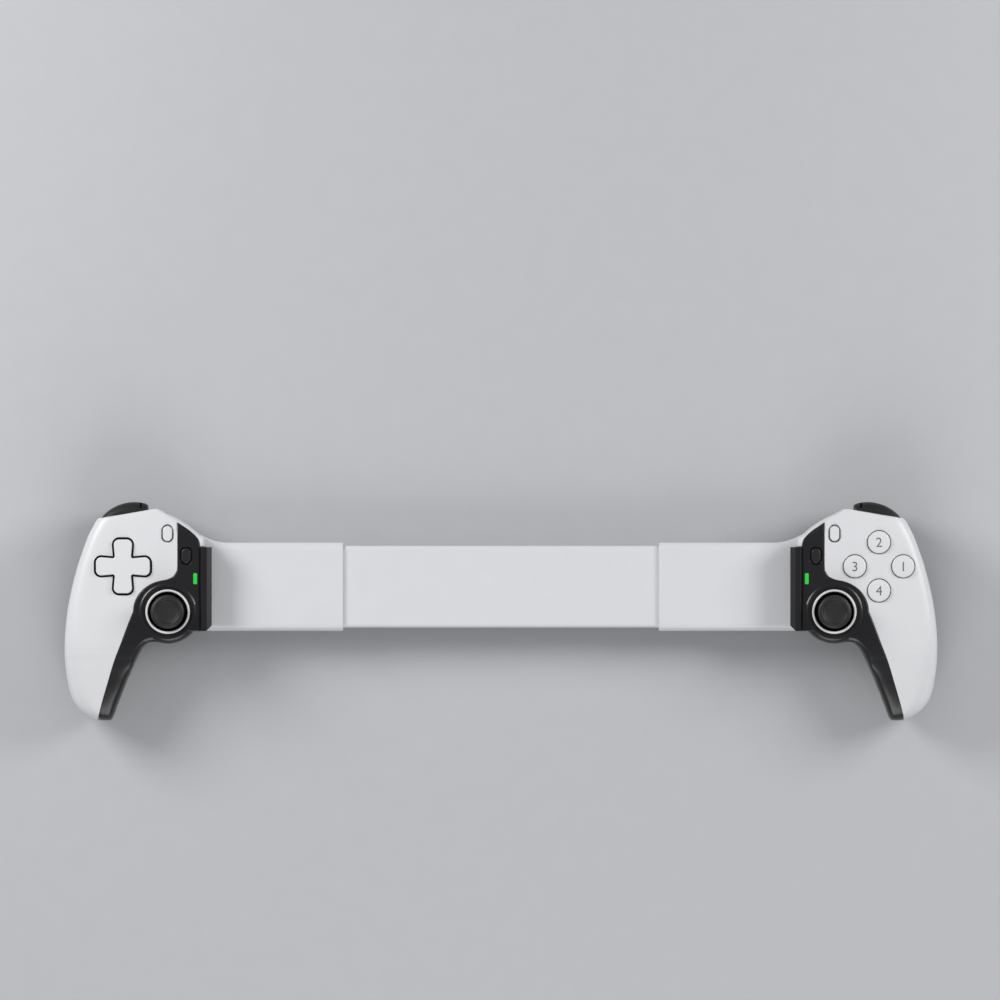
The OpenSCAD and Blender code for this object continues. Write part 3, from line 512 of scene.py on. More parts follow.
# places of the controls on a grip
controls = {
    "stick": (20.4, -11.5), "cluster": (41.1, 9.5), "clusterRadius": 11.2,
    "shellOval": (20.5, 24.7), "panelOval": (11.9, 14.4), "light": (7.65, 3.8),
    "collarRadius": 14.8,
    "bodyEdge": 5.3,  # where the grip stops beside the jaw
    "cornerEdge": 3.4,  # how far the white corner above the jaw reaches in
}
stickAt, clusterAt, collarRadius = values(controls, "stick cluster collarRadius")
clusterPlaces = [polar(clusterAt, controls["clusterRadius"], 90 * k) for k in range(4)]

# rounded rims: the cutters go on past the face, so that the cut is clean
rims = {"steps": quarter(15)[:-1], "past": 0.25, "over": 0.2, "backEnd": -3, "holeFloor": 25,
        "broadSteps": [roundAt(82)], "broadOver": 0.06}  # a broad rim meets the face at a flatter angle


def rimLoops(outline, rim, way, front=True, broad=False):  # way is 1 to open outwards, -1 to draw in
    rim = reading(rim)
    up = 1 if front else -1
    over = up * rims["broadOver" if broad else "over"]
    loops = [flat(grown(outline, lambda u, v: way * rim(u, v) * x),
                  lambda u, v: faceHeight(u, v, front) - up * rim(u, v) * y)
             for x, y in rims["steps"] + (rims["broadSteps"] if broad else [])]
    edge = grown(outline, lambda u, v: way * (rim(u, v) + rims["past"]))
    loops.append(flat(edge, lambda u, v: faceHeight(u, v, front) + over))
    loops.append(flat(edge, overZ if front else rims["backEnd"]))
    return loops


def rimCutter(name, outline, rim, floorZ=rims["holeFloor"]):  # an opening through the face
    return newObject(name, loft([flat(outline, floorZ)] + rimLoops(outline, rim, 1)))


def rimKeeper(name, outline, rim, lowZ=underZ, backRim=None, broad=False):  # keeps what lies inside
    loops = [flat(outline, lowZ)]
    if backRim:
        loops = rimLoops(outline, backRim, -1, front=False)[::-1]
    return newObject(name, loft(loops + rimLoops(outline, rim, -1, broad=broad)))


def fading(rim, least, low, high):  # a rim that runs out down the handle, from v high to low
    return lambda u, v: least + (rim - least) * eased((v - low) / (high - low))


# border between white shell and black panel, from the upper edge down to the handle's end
border = {
    "upper": [(5.2, 18.6), (5.9, 21.5), (7.4, 23.6), (10.2, 26.1), (13.2, 28.15), (15.9, 30)],
    "bend": [(15.9, 24), (15.9, 9.6), (16.5, 6.9), (17.8, 4.9), (19.7, 3.75), (21.6, 3.1)],
    "collarAngle": (82, 8), "collarRadius": (14.6, 15.95), "collarSteps": 18,
    "handle": [(36.35, -11.4), (38.2, -15.9), (41.8, -25.4), (45.4, -34.9), (48.5, -45.1), (51.5, -55.3),
               (53.6, -64)],
    "around": [(30, -64), (0, -40), (0, 17)],  # closes the outline past the inner side
}


def panelBorder():
    (first, last), (near, away), steps = values(border, "collarAngle collarRadius collarSteps")
    bow = []
    for k in range(steps + 1):  # the border leaves the collar as it comes round
        t = k / steps
        bow.append(polar(stickAt, near + (away - near) * eased(t), first + (last - first) * t))
    upper, bend, handle = (smooth(border[name], count)
                           for name, count in (("upper", 4), ("bend", 5), ("handle", 6)))
    return upper + bend + bow + handle + border["around"]


# plan of the grip: beside the jaw, round the collar, along the handle's inner side
plan = {
    "outer": 75, "upper": 40, "lower": -70,  # well outside the grip
    "collarTo": 284, "collarSteps": 28, "straightEnd": 2,
    "foot": [(24.6, -25.72), (27.6, -25.6), (30, -26.2), (31.4, -27.2), (32.8, -28.65), (34.3, -31.3),
             (35.6, -34), (36.9, -37), (38.15, -40)],
    "handle": [(38.5, -42), (38.5, -45), (38.5, -50), (38.5, -70)],  # outside the handle
    "footAround": [(80, -70), (80, 45), (-30, 45), (-30, -24.6), (21, -25.2)],
}
collarFoot = smooth(plan["foot"], 4)
footRun = collarFoot + plan["handle"]


def collarArc(radius):
    return arc(stickAt, radius, 180, plan["collarTo"], plan["collarSteps"])[1:]


def bodyPlan(radius, corner=False):
    edge, outer, upper = controls["bodyEdge"], plan["outer"], plan["upper"]
    side = [(outer, upper), (edge, upper)]
    if corner:  # the white shell reaches past the panel, down to the top of the jaw
        inner, low = controls["cornerEdge"], jawHigh + clearance
        side = [(outer, upper), (inner, upper), (inner, low), (edge, low)]
    side.append((edge, stickAt[1] + plan["straightEnd"]))
    return side + collarArc(radius) + footRun + [(outer, plan["lower"])]


def halfSpace(name, up):
    gap = grip["seam"] / 2
    bm = block((-100, -100, gap if up else -farOff), (120, 100, farOff if up else -gap))
    slope = Matrix.Rotation(atan(grip["partingSlope"]), 4, "X")
    bmesh.ops.transform(bm, matrix=Matrix.Translation((0, 0, grip["parting"])) @ slope, verts=bm.verts)
    return newObject(name, bm)


upperHalf = halfSpace("upperHalf", True)
lowerHalf = halfSpace("lowerHalf", False)

# sleeves: flat tubes that run into the grips, flared at the upper edge
sleeve = {"wall": 1.25, "edge": 3.5, "leastEdge": 0.5, "soft": 0.45, "gap": 0.12,
          "flare": 3.6, "flareFrom": -8, "flareTo": 5.2, "flareEnd": 6.8, "flareRound": 0.9,
          "flarePower": 2.2, "flareSteps": 14}


def flareAt(u):
    t = min(1, max(0, (u - sleeve["flareFrom"]) / (sleeve["flareTo"] - sleeve["flareFrom"])))
    return sleeve["flare"] * t ** sleeve["flarePower"]


def tubeSection(u, inset, flare):  # the flare's back corner rounds off to meet the grip's
    low, high = sleeveLowV + inset, sleeveHighV - inset + flare
    back, top = sleeveBack + inset, sleeveTop - inset
    r = max(sleeve["leastEdge"], sleeve["edge"] - inset)
    wide = r + flare * sleeve["flareRound"]
    section = rounded([(low, back, r), (high, back, wide), (high, top, r), (low, top, r)], 10)
    return [(u, v, z) for v, z in section]


def sleeveMesh():
    wall, soft, first, last, end, steps = values(sleeve, "wall soft flareFrom flareTo flareEnd flareSteps")
    mouth = [(0, wall), (0, soft), (soft * 0.13, soft * 0.5), (soft * 0.5, soft * 0.13)]
    along = [sleeveStart + soft, sleeveStart / 2, first - 3]
    along += [first + (last - first) * k / steps for k in range(steps + 1)]
    loops = [tubeSection(sleeveStart + step, inset, 0) for step, inset in mouth]
    loops += [tubeSection(u, 0, flareAt(u)) for u in along]
    loops += [tubeSection(end, 0, sleeve["flare"]), tubeSection(end + 0.02, 0, 0)]
    loops += [tubeSection(sleeveEnd, inset, 0) for inset in (0, wall)]
    return loft(loops, closed=True)


roomEnds = (-30, sleeveEnd + 1)
sleeveRoom = newObject("sleeveRoom", loft([tubeSection(u, -sleeve["gap"], 0) for u in roomEnds]))

# bumper and trigger: their sizes come first, because the shells leave room for them
bumper = {"centre": (36, 19.3), "radius": 20, "from": 29.5, "to": 50.8, "base": 30.5, "back": 23.6,
          "front": 32.8, "gap": 0.4, "roomFloor": 28.5, "outerCorner": 0.9, "innerCorner": 1.6,
          "swell": 3.8, "backSwell": 1.5, "backLean": 0.3, "leanAcross": 0.14, "leanUp": 0.62,
          "grooveAt": 32.5, "grooveWidth": 0.9, "grooveFloor": 36.6, "grooveBack": 25.6}
trigger = {"from": 31, "to": 47, "pivot": (29, 18.5), "soft": 1.2, "inset": 1.4, "topGap": 0.9,
           "hub": 2.6, "bore": 1.1, "slotLow": (36.6, 25.4, 15.5), "slotHigh": (41.4, 32, 25.5),
           "webBack": 22.1, "webFloor": 26.8, "webSide": 3, "webFront": 2,
           "wellBack": -2, "wellFloor": 24.5, "wellWall": 2, "wellTop": 19.9,
           # from the pivot: along v, along z, corner
           "inner": [(0, -2.2, 0.3), (2, -3, 0.8), (3.1, -5.5, 2), (3.4, -9.5, 3), (3.4, -13.8, 0.6)],
           # from the pivot: furthest along v, drawn in by, along z, corner
           "outer": [(5.6, 0.9, -14.4, 0.6), (7.6, 0.4, -12.8, 1.4), (9, 0.5, -8, 4), (10, 0, -2, 2)]}


def shoulderRooms():
    b, t = bumper, trigger
    gap, web = b["gap"], t["webSide"]
    side = gap + t["wellWall"]
    return (workBlock("bumperRoom", (b["from"] - gap, b["roomFloor"], b["back"] - gap),
                      (b["to"] + gap, farOff, b["front"] + gap)),
            workBlock("triggerRoom", (t["from"] - gap, t["wellFloor"], t["wellBack"]),
                      (t["to"] + gap, farOff, t["webBack"])),
            workBlock("wellBlock", (t["from"] - side, t["wellFloor"] - t["wellWall"], underZ),
                      (t["to"] + side, farOff, t["wellTop"])),
            workBlock("behindBumper", (b["from"] - web, t["webFloor"], t["webBack"]),
                      (b["to"] + web, farOff, frontZ + t["webFront"])))


bumperRoom, triggerRoom, wellBlock, behindBumper = shoulderRooms()

# case screws: a boss in the hollow and a hole with a rounded mouth in the back
screws = {"places": [(60, -12), (54, -50), (48, -30), (25.6, 31)], "bossRadius": 3.2, "bossTop": 30,
          "radius": 2, "rim": 0.35, "top": 9.65}


def screwHole(at):
    r, rim, low = screws["radius"], screws["rim"], faceHeight(*at, False)
    mouth = r + rim + 0.3
    levels = [(mouth, low - 2), (mouth, low - 0.3), (r + rim * 0.6, low + rim * 0.1),
              (r + rim * 0.2, low + rim * 0.5), (r, low + rim * 1.2), (r, screws["top"])]
    return newObject("screwHole", loft([flat(circle(at, radius, 40), z) for radius, z in levels]))


screwHoles = [screwHole(at) for at in screws["places"]]
screwBosses = [prism("screwBoss", circle(at, screws["bossRadius"], 40), underZ, screws["bossTop"])
               for at in screws["places"]]

hollowTrim = prism("hollowTrim", grown(bodyPlan(collarRadius), -grip["wall"]), underZ, overZ)
gripHollow = carve(gripHollow, keep(hollowTrim))
rearHollow = carve(gripHollow, cut(wellBlock, *screwBosses))
frontHollow = carve(gripHollow, cut(behindBumper))

# belt groove: a fine V along the seam between front and rear shells
belt = {"depth": 0.3, "half": 0.34, "out": 0.4, "flank": 0.45, "handleFrom": -42}


def beltGroove():
    rows = [k / 2 for k in range(-124, 67)] + [33.1 + k / 10 for k in range(31)]  # closer at the top end
    edge = controls["bodyEdge"]
    outline = [(readOuter(v), v) for v in rows]
    outline += [(readInner(v), v) for v in reversed(rows) if readInner(v) > edge and v > 0]
    outline += [(edge, v) for v in (23, 15, 5, -5, stickAt[1] + 1)]
    outline += collarArc(collarRadius) + collarFoot
    outline += [(readInner(v), v) for v in reversed(rows) if v < belt["handleFrom"]]
    high = belt["half"] + belt["flank"]
    levels = ((-belt["depth"], 0), (belt["out"], high), (belt["out"], -high))
    loops = [flat(grown(outline, by), lambda u, v: partingAt(v) + rise) for by, rise in levels]
    return newObject("beltGroove", loft(loops, closed=True))


beltCut = beltGroove()

# shells of the two grips, and the openings in them
shells = {"rimEdge": 0.5, "rimPanel": 0.3, "rimPanelEnd": 0.1, "panelFade": (-56, -46),
          "rimBack": 2.2, "rimFoot": 2.6, "rimEnd": 0.35, "footFade": (-41, -31), "collarInset": 0.6}
holes = {"rim": 0.32, "oval": (5.6, 8.4), "round": 5.56, "crossGap": 1.05, "crossRim": 0.16,
         "light": (2, 5.3), "lightCorner": 0.55, "lightRim": 0.12}
cross = {"root": 3.65, "end": 4.43, "arm": 12.45, "tip": 2.4, "inner": 0.9, "leastInner": 0.2}


def crossPlan(at, grow):
    root, end, arm, tip = (value + grow for value in values(cross, "root end arm tip"))
    inner = max(cross["leastInner"], cross["inner"] - grow)
    corners = []
    for k in range(4):
        turn = Matrix.Rotation(radians(90 * k), 2)
        for u, v, r in ((root, -root, inner), (arm, -end, tip), (arm, end, tip)):
            p = turn @ Vector((u, v))
            corners.append((at[0] + p.x, at[1] + p.y, r))
    return rounded(corners, 8)


borderRim = fading(shells["rimPanel"], shells["rimPanelEnd"], *shells["panelFade"])
footRim = fading(shells["rimFoot"], shells["rimEnd"], *shells["footFade"])
backRim = fading(shells["rimBack"], shells["rimEnd"], *shells["footFade"])
panelCut = rimCutter("panelCut", panelBorder(), borderRim, 0)
panelKeep = rimKeeper("panelKeep", grown(panelBorder(), -grip["seam"]), borderRim, 0)
frontPlan = bodyPlan(collarRadius - shells["collarInset"], corner=True)
trimFront = rimKeeper("trimFront", frontPlan, shells["rimEdge"])
trimFoot = rimKeeper("trimFoot", plan["footAround"] + footRun, footRim, broad=True)
trimRear = rimKeeper("trimRear", bodyPlan(collarRadius), shells["rimEdge"], backRim=backRim)
cornerRoom = workBlock("cornerRoom", (-9, 10, -5),
                       (controls["bodyEdge"], plan["upper"], sleeveTop + clearance))
shellOvalHole, panelOvalHole = (
    rimCutter(at + "Hole", stadium(controls[at], *holes["oval"]), holes["rim"])
    for at in ("shellOval", "panelOval"))
lightPlan = barPlan(controls["light"], holes["light"], holes["lightCorner"])
lightHole = rimCutter("lightHole", lightPlan, holes["lightRim"])
clusterHoles = {
    "left": [rimCutter("crossHole", crossPlan(clusterAt, holes["crossGap"]), holes["crossRim"])],
    "right": [rimCutter("roundHole", circle(at, holes["round"], 64), holes["rim"])
              for at in clusterPlaces],
}

# charging socket in the right grip's lower edge
socket = {"at": (28.1, 21.3), "size": (9, 3.2), "front": -25.3, "depth": 6.3, "wall": 0.35, "floor": 1,
          "roomGap": 0.12, "roomFrom": -29, "roomBehind": 0.5,
          "tongue": (6.2, 0.7), "tongueFrom": 0.6, "tongueTo": 0.8, "tongueEdge": 0.15}
socketEnd = socket["front"] + socket["depth"]


def socketForm(grow, first, last):
    (u, z), (w, h) = socket["at"], socket["size"]
    across = stadium((z, u), h + 2 * grow, w + 2 * grow)
    return loft([[(b, v, a) for a, b in across] for v in (first, last)])


room = socketForm(*values(socket, "roomGap roomFrom"), socketEnd + socket["roomBehind"])
socketRoom = newObject("socketRoom", room)

# collar round the stick: a rounded ring that stands a little proud of the panel
collar = {"bore": 10.42, "low": 16, "wide": 3.2, "deep": 3.1, "rise": 0.49, "holeFrom": 24.7, "holeTo": 42,
          # radius, height over the face
          "crown": [(10.42, -0.5), (10.7, -0.1), (10.85, 0.3), (11.2, 0.58), (11.8, 0.7), (12.6, 0.6)]}


def collarForm():
    bore, low, wide, deep, rise = values(collar, "bore low wide deep rise")
    crown = [(r, frontZ + height) for r, height in collar["crown"]]
    outer = [(collarRadius - wide * y, frontZ + rise - (deep + rise) * x) for x, y in quarter(6)[2:]]
    return turned(stickAt, [(bore, low)] + crown + outer + [(collarRadius, low), (bore, low)], 96)


collarRing = newObject("collarRing", collarForm())
stickHole = prism("stickHole", circle(stickAt, collar["bore"], 96), *values(collar, "holeFrom holeTo"))

# heel: fills the corner between the jaw's lower end and the collar
heel = {"at": (8.15, -14.25), "size": (5.7, 12.5), "corner": 0.3, "lift": 0.15, "top": 36.1, "edge": 0.4}
heelPlan = barPlan(*values(heel, "at size corner"))
jawHeel = newObject("jawHeel", loft(softTop(heelPlan, sleeveTop + heel["lift"], heel["top"], heel["edge"])))

for hand, sign in sides:
    socketCut = cut(socketRoom) if hand == "right" else []
    shell = carve(gripOuter, keep(upperHalf, trimFront)
                  + cut(frontHollow, panelCut, bumperRoom, sleeveRoom, cornerRoom, triggerRoom)
                  + cut(shellOvalHole, *clusterHoles[hand], beltCut))
    panel = carve(gripOuter, keep(upperHalf, trimFront, trimFoot) + cut(gripHollow) + keep(panelKeep)
                  + join(collarRing, jawHeel) + keep(upperHalf)
                  + cut(stickHole, sleeveRoom, panelOvalHole, lightHole, beltCut) + socketCut)
    rear = carve(gripOuter, keep(lowerHalf, trimRear)
                 + cut(rearHollow, triggerRoom, sleeveRoom, *screwHoles, beltCut) + socketCut)
    for piece, form, finish, node in (("white_front", shell, "white_shell", "front_shell"),
                                      ("black_panel", panel, "black_panel", "panel"),
                                      ("dark_back", rear, "dark_shell", "rear_shell")):
        name, node = f"{hand}_{piece}", f"{hand}_{node}"
        dress(name, bmeshOf(form), finish, sign, hand + "_grip", node)
    print(hand, "shells:", [len(form.data.polygons) for form in (shell, panel, rear)])

# bridge: two half shells that the sleeves slide over
bridge = {"half": 19, "wall": 1.4, "edge": 2, "innerEdge": 0.6, "seamEdge": 0.1, "soft": 0.35}
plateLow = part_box("centre_rear_tray")[0]
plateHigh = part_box("centre_front_cover")[1]
platePart = (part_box("centre_rear_tray")[1].z / mm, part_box("centre_front_cover")[0].z / mm)


def plateSection(part, face):  # part is the seam's height, face the outside's
    w, wall, edge, seam, soft = values(bridge, "half wall edge seamEdge innerEdge")
    inner = w - wall
    inside = face - copysign(wall, face - part)
    return rounded([
        (-w, part, seam), (-w, face, edge), (w, face, edge), (w, part, seam),
        (inner, part, seam), (inner, inside, soft), (-inner, inside, soft), (-inner, part, seam)], 8)


for node, part, face in (("centre_front_cover", platePart[1], plateHigh.z / mm),
                         ("centre_rear_tray", platePart[0], plateLow.z / mm)):
    length, soft = plateHigh.x / mm, bridge["soft"]
    outline = plateSection(part, face)
    thin = grown(outline, -soft / 2)
    ends = [(-length, thin), (soft - length, outline), (length - soft, outline), (length, thin)]
    plate = loft([[(x, v, z) for v, z in section] for x, section in ends])
    dress(node.replace("centre", "bridge"), plate, "white_bridge", 0, "bridge", node)
print("bridge done")

# jaw: the clamp's wall with its lip, chamfered at the lower inner corner
jaw = {"low": -20.5, "high": 18.5, "depth": 5.2, "wall": 2.4, "lip": 33, "lipNose": 0.6, "top": 37,
       "bevel": 2.3, "bevelDrop": 1.6, "chamfer": 2.6, "soft": 0.3}


def jawMesh():
    depth, top, lip, soft = values(jaw, "depth top lip soft")
    inner = depth - jaw["wall"]
    base = sleeveTop + clearance
    profile = rounded([
        (depth, base, 0.2), (depth, top, 0.5), (jaw["bevel"], top, 1), (0, top - jaw["bevelDrop"], 0.6),
        (0, lip + 1, 0.4), (jaw["lipNose"], lip, 0.3), (inner, lip, 0.4), (inner, base, 0.2)])
    steps = [(0, soft), (soft * 0.3, soft * 0.3), (soft, 0)]  # along v, drawn in by
    ends = [(jaw["low"] + step, inset) for step, inset in steps]
    ends += [(jaw["high"] - step, inset) for step, inset in reversed(steps)]
    bm = loft([[(u, v, z) for u, z in grown(profile, -inset)] for v, inset in ends])
    made = bmesh.ops.bisect_plane(bm, geom=bm.verts[:] + bm.edges[:] + bm.faces[:], clear_outer=True,
                                  plane_co=(jaw["chamfer"], jaw["low"], 0), plane_no=(-1, -1, 0))
    rim = [e for e in made["geom_cut"] if isinstance(e, bmesh.types.BMEdge)]
    bmesh.ops.contextual_create(bm, geom=rim)
    bmesh.ops.recalc_face_normals(bm, faces=bm.faces)
    return bm


# soft strip in the jaw, ribbed where the device presses on it
pad = {"low": -18, "high": 16, "back": 2.7, "front": 1.4, "step": 0.5, "from": 23, "to": 32.5,
       "edge": 0.3, "thin": 0.25, "rib": 1.7, "relief": 0.35, "margin": 1, "ribSteps": 8, "ribPower": 0.6}


def padMesh():
    low, high, front, rib, steps = values(pad, "low high front rib ribSteps")
    ribs = int((high - low - pad["margin"]) / rib)
    start = (low + high - ribs * rib) / 2
    outline = [(pad["back"], low), (pad["back"], high), (front + pad["step"], high)]
    for k in range(ribs * steps + 1):
        wave = 0.5 - 0.5 * cos(tau * k / steps)
        outline.append((front + pad["relief"] * (1 - wave ** pad["ribPower"]),
                        start + ribs * rib - k * rib / steps))
    outline.append((front + pad["step"], low))
    thin = grown(outline, -pad["thin"])
    first, last, edge = values(pad, "from to edge")
    levels = ((thin, first), (outline, first + edge), (outline, last - edge), (thin, last))
    return loft([flat(loop, z) for loop, z in levels])


# stick: white ring, and a rubber cap with a dished top over a dome that fills the opening
stick = {"ringRadius": 10.3, "ringWidth": 1.08, "ringTop": 36.8, "ringCrown": 0.5, "ringDepth": 2,
         "pivot": 27.5, "dome": 9.5, "domeWall": 0.9, "domeTo": 15, "hollowTo": 79,  # degrees over level
         "capRadius": 7.75, "capFrom": 41.6, "capTo": 45, "neck": 3.1, "bore": 1.6, "boreTop": 39.4,
         "ribs": 60, "ribDepth": 0.16,
         # radius, depth under the cap's top
         "dish": [(0, 1.35), (2, 1.3), (3.6, 1.18), (4.7, 1.02), (5.15, 0.85), (5.35, 0.55), (5.5, 0.2),
                  (5.75, 0.03), (6.1, 0), (6.5, 0.02)]}


def ringMesh():
    outer, wide, top, crown = values(stick, "ringRadius ringWidth ringTop ringCrown")
    inner, low = outer - wide, frontZ - stick["ringDepth"]
    middle, half = (outer + inner) / 2, wide / 2
    bow = [(middle + half * x, top - crown + crown * y) for x, y in arc((0, 0), 1, 0, 180, 12)]
    return turned(stickAt, [(inner, low), (outer, low)] + bow + [(inner, low)], 96)


def capMesh():
    r, low, top, neck, bore, boreTop = values(stick, "capRadius capFrom capTo neck bore boreTop")
    dish = [(radius, top - depth) for radius, depth in stick["dish"]]
    rim = [(r - 0.6, top - 0.2), (r - 0.24, top - 0.55), (r - 0.08, top - 0.95)]
    flank = [(r, top - 1.05), (r, low + 1.15)]
    under = [(r - 0.1, low + 1.05), (r - 0.4, low + 0.5), (6.6, low + 0.12), (5.6, low), (neck + 0.8, low),
             (neck + 0.2, low - 0.25), (neck, low - 0.8)]
    ball, pivot, skirt = values(stick, "dome pivot domeTo")
    dome = arc((0, pivot), ball, degrees(acos(neck / ball)), skirt, 14)
    hollow = arc((0, pivot), ball - stick["domeWall"], skirt, stick["hollowTo"], 10)
    well = [(bore, hollow[-1][1]), (bore, boreTop), (0, boreTop)]
    columns = stick["ribs"] * 2
    u, v = stickAt
    bm = turned((u, v), dish + rim + flank + under + dome + hollow + well, columns)
    for vert in bm.verts:  # knurl: every second column of the flank lies a little deeper
        away = Vector((vert.co.x - u, vert.co.y - v))
        if abs(away.length - r) < 0.01:
            column = round((atan2(away.y, away.x) % tau) / tau * columns)
            if column % 2:
                away *= 1 - stick["ribDepth"] / r
                vert.co.x, vert.co.y = u + away.x, v + away.y
    return bm


# buttons and the light's window
buttons = {"flangeTop": 33.4, "flangeThick": 1.3,
           "ovalSize": (4.2, 7), "ovalTop": 36.8, "ovalEdge": 0.55, "ovalFlange": 1.15,
           "pin": 1.2, "pinLow": 27,
           "roundRadius": 5.2, "roundTop": 37.3, "roundEdge": 0.7, "roundCrown": 0.12, "roundFlange": 6.06,
           # the cross step values size a dark step grown round the cross: painted shade in the gap round
           # the cap
           "crossTop": 37.6, "crossEdge": 0.5, "crossPivot": 31, "crossShadeStep": 0.3, "crossShadeStepTop": 35.2,
           "plateRadius": 11.05, "plateThick": 1.5, "plateEdge": 0.2,
           "lightSize": (1.8, 5.1), "lightTop": 36.1, "lightEdge": 0.3, "lightCorner": 0.5, "lightDepth": 1}
flangeLow = buttons["flangeTop"] - buttons["flangeThick"]


def ovalMesh(at):
    (w, h), wide, top = values(buttons, "ovalSize ovalFlange flangeTop")
    outline = stadium(at, w, h)
    flange = stadium(at, w + 2 * wide, h + 2 * wide)
    pin = circle(at, buttons["pin"], len(outline))
    levels = ((pin, buttons["pinLow"]), (pin, flangeLow - 0.01), (flange, flangeLow), (flange, top))
    loops = [flat(loop, z) for loop, z in levels]
    return loft(loops + softTop(outline, top + 0.01, *values(buttons, "ovalTop ovalEdge")))


def roundMesh(at):
    r, top, edge, crown = values(buttons, "roundRadius roundTop roundEdge roundCrown")
    wide, flangeTop = values(buttons, "roundFlange flangeTop")
    flange = [(0, flangeLow), (wide, flangeLow), (wide, flangeTop), (r, flangeTop)]
    rim = [(r - edge * x, top - crown - edge * y) for x, y in quarter(15)]
    dome = [(r * share, top - crown * share * share) for share in (0.7, 0.5, 0.25, 0)]
    return turned(at, flange + rim + dome, 80)


def crossMesh(at):
    return loft(softTop(crossPlan(at, 0), *values(buttons, "crossPivot crossTop crossEdge")))


def plateMesh(at):  # dark base of the cross. Its raised dark step round the white cap is painted shade in the gap, where the real pad's white walls lie only in shadow.
    r, edge, thick, pivot = values(buttons, "plateRadius plateEdge plateThick crossPivot")
    low = pivot - clearance
    high = low + thick
    rim = [(r - edge, low), (r, low + edge), (r, high - edge), (r - edge, high)]
    base = turned(at, [(0, low)] + rim + [(0, high)], 80)
    # painted shade: a dark step grown round the cross, standing in the gap below the cap's top
    step = loft(softTop(crossPlan(at, buttons["crossShadeStep"]), low + 0.3, buttons["crossShadeStepTop"], 0.1))
    return bmeshOf(carve(newObject("crossBase", base), join(newObject("crossShadeStep", step))))


def lightMesh(at):
    outline = barPlan(at, *values(buttons, "lightSize lightCorner"))
    low = buttons["flangeTop"] - buttons["lightDepth"]
    return loft(softTop(outline, low, *values(buttons, "lightTop lightEdge")))


# shoulder: domed bumper in front, trigger behind it
def bumperMesh():
    centre, r, base, low, high = values(bumper, "centre radius base from to")
    middle = (low + high) / 2
    first, last = (degrees(acos((u - centre[0]) / r)) for u in (high, low))
    dome = arc(centre, r, first, last, 40)
    corners = [(high, base, 0), (*dome[0], bumper["outerCorner"])]
    corners += [(u, v, 0) for u, v in dome[3:-4]]  # the points left out make room for the round corners
    corners += [(*dome[-1], bumper["innerCorner"]), (low, base, 0)]
    outline = rounded(corners, 8)

    def level(lean, z):  # drawn towards the base, so that the front swells like a lens
        across, up = 1 - bumper["leanAcross"] * lean, 1 - bumper["leanUp"] * lean
        return [(middle + (u - middle) * across, base + (v - base) * up, z) for u, v in outline]

    lean, back, backSwell, front, swell = values(bumper, "backLean back backSwell front swell")
    loops = [level(lean * x, back + backSwell * y) for x, y in reversed(quarter(9))]
    loops += [level(x, front - swell * y) for x, y in quarter(9)]
    corner = values(bumper, "grooveAt grooveFloor grooveBack")
    groove = workBlock("bumperGroove", corner, (corner[0] + bumper["grooveWidth"], farOff, farOff))
    return bmeshOf(carve(newObject("bumperForm", loft(loops)), cut(groove)))


def triggerSection(reach):  # profile beside the pivot, as far out as reach
    v, z = trigger["pivot"]
    top = trigger["webBack"] - trigger["topGap"]
    corners = [(v + out, z + rise, r) for out, rise, r in trigger["inner"]]
    corners += [(v + min(most, reach) - drawn, z + rise, r) for most, drawn, rise, r in trigger["outer"]]
    return rounded(corners + [(corners[-1][0], top, 0.8), (v, top, 0.6)])


def triggerMesh():
    v, z = trigger["pivot"]
    (cu, cv), r = bumper["centre"], bumper["radius"] - trigger["inset"]
    low, high, soft = values(trigger, "from to soft")
    ends = [(soft * y, soft * x) for x, y in quarter(18)]
    places = [(low + step, inset) for step, inset in reversed(ends)]
    places += [(low + soft + (high - low - 2 * soft) * k / 10, 0) for k in range(1, 10)]
    places += [(high - step, inset) for step, inset in ends]
    loops = []
    for u, inset in places:
        section = triggerSection(cv - v + sqrt(r * r - (u - cu) ** 2))
        loops.append([(u, y, h) for y, h in grown(section, -inset)])

    def rod(name, past):
        across = circle((v, z), trigger[name], 48)
        return newObject(name, loft([[(u, a, b) for a, b in across] for u in (low - past, high + past)]))

    slot = workBlock("springSlot", *values(trigger, "slotLow slotHigh"))
    form = newObject("triggerForm", loft(loops))
    return bmeshOf(carve(form, join(rod("hub", 0)) + cut(rod("bore", 1), slot)))


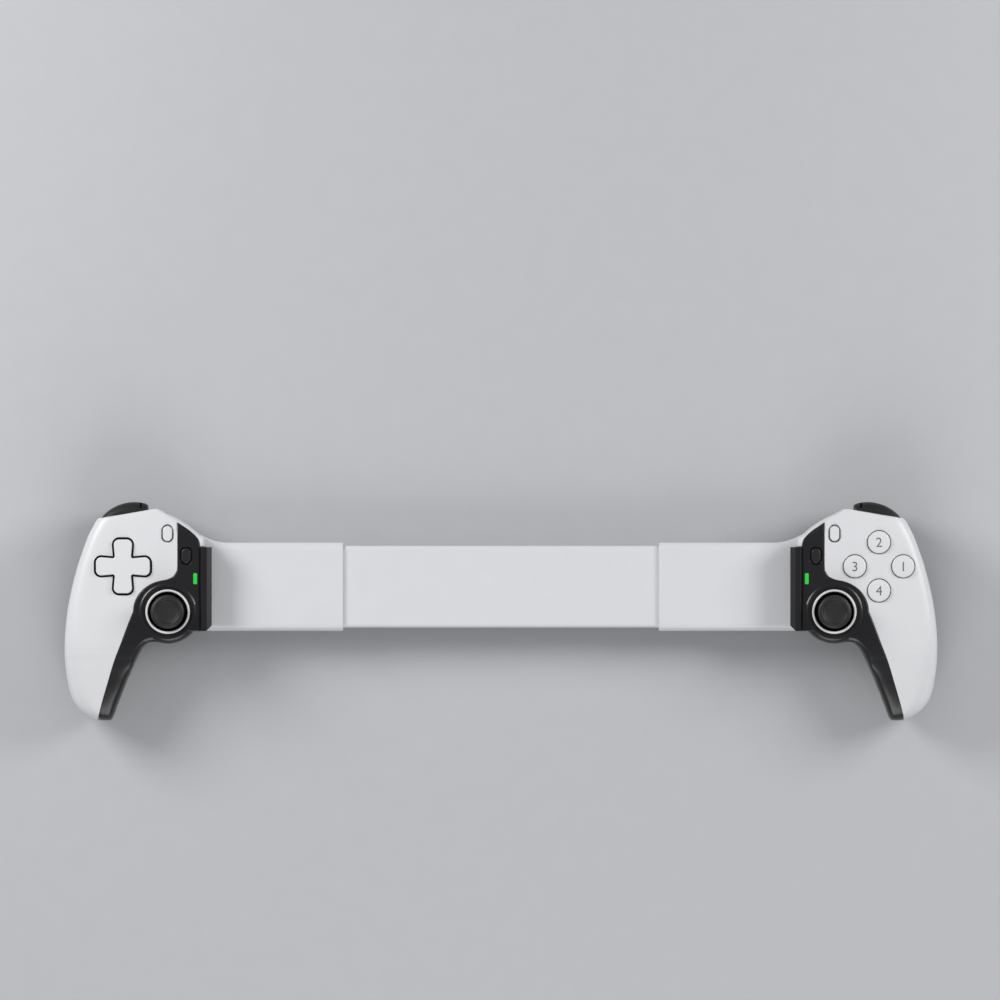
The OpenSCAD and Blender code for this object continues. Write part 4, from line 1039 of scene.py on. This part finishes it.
for hand, sign in sides:
    for piece, made, finish, part, moves in (
            ("white_sleeve", sleeveMesh(), "white_bridge", "sleeve", False),
            ("clamp_jaw", jawMesh(), "black_panel", "jaw", False),
            ("ribbed_pad", padMesh(), "soft_rubber", "jaw_pad", False),
            ("ring", ringMesh(), "white_ring", "stick_ring", False),
            ("rubber_cap", capMesh(), "stick_rubber", "stick_cap", True),
            ("light", lightMesh(controls["light"]), "green_light", "light_window", False),
            ("domed_bumper", bumperMesh(), "black_button", "bumper", True),
            ("curved_trigger", triggerMesh(), "black_button", "trigger", True)):
        node = f"{hand}_{part}"
        dress(f"{hand}_{piece}", made, finish, sign, node if moves else hand + "_grip", node)
    white, black = {"left": ("select", "home"), "right": ("start", "menu")}[hand]
    for use, at, finish in ((white, "shellOval", "white_button"), (black, "panelOval", "black_button")):
        node = f"{hand}_{use}_button"
        dress(node + "_oval", ovalMesh(controls[at]), finish, sign, node, node)
    print(hand, "fittings done")

tube = newObject("socketTube", socketForm(0, socket["front"], socketEnd))
bore = socketForm(-socket["wall"], socket["front"] - 1, socketEnd - socket["floor"])
tube = carve(tube, cut(newObject("socketBore", bore)))
dress("socket_tube", bmeshOf(tube), "steel", 1, "right_grip", "charging_socket")
(u, z), (w, h) = socket["at"], socket["tongue"]
bm = block((u - w / 2, socket["front"] + socket["tongueFrom"], z - h / 2),
           (u + w / 2, socketEnd - socket["tongueTo"], z + h / 2))
bmesh.ops.bevel(bm, geom=bm.edges[:], offset=socket["tongueEdge"], offset_type="OFFSET", segments=2,
                profile=0.5, affect="EDGES", material=-1)
dress("socket_tongue", bm, "dark_inner", 1, "right_grip", "charging_socket")

for piece, made, finish in (("direction_cross", crossMesh(clusterAt), "white_button"),
                            ("direction_plate", plateMesh(clusterAt), "dark_inner")):
    dress(piece, made, finish, -1, "direction_pad", "direction_pad")

# plain numerals on the round buttons
numerals = {"height": 4.4, "heightShare": 0.7, "thick": 0.06}  # a numeral is 0.7 of its font's size


def numeralMesh(text, at, z):
    curve = bpy.data.curves.new("numeral" + text, "FONT")
    curve.body = text
    curve.align_x = "CENTER"
    curve.size = numerals["height"] / numerals["heightShare"]
    curve.extrude = numerals["thick"] / 2
    bm = bmesh.new()
    bm.from_mesh(shaped(added("numeral" + text, curve)))
    bmesh.ops.translate(bm, verts=bm.verts, vec=(at[0], at[1] - numerals["height"] / 2, z))
    return bm


for k, at in enumerate(clusterPlaces):
    node = f"action_button_{k + 1}"
    dress(node + "_round", roundMesh(at), "white_button", 1, node, node)
    dress(node + "_numeral", numeralMesh(str(k + 1), at, buttons["roundTop"]), "mark", 1, node,
          sharp=20, weighted=False)
print("buttons done")

# every node of the construction gets its finish by the record's slots
for part in frame["record"]["subparts"]:
    materials = frame["nodes"][part["node"]].data.materials
    materials.clear()
    materials.append(finishes[part["material_slot"]])

for obj in list(workshop.objects):
    bpy.data.objects.remove(obj)
bpy.data.collections.remove(workshop)
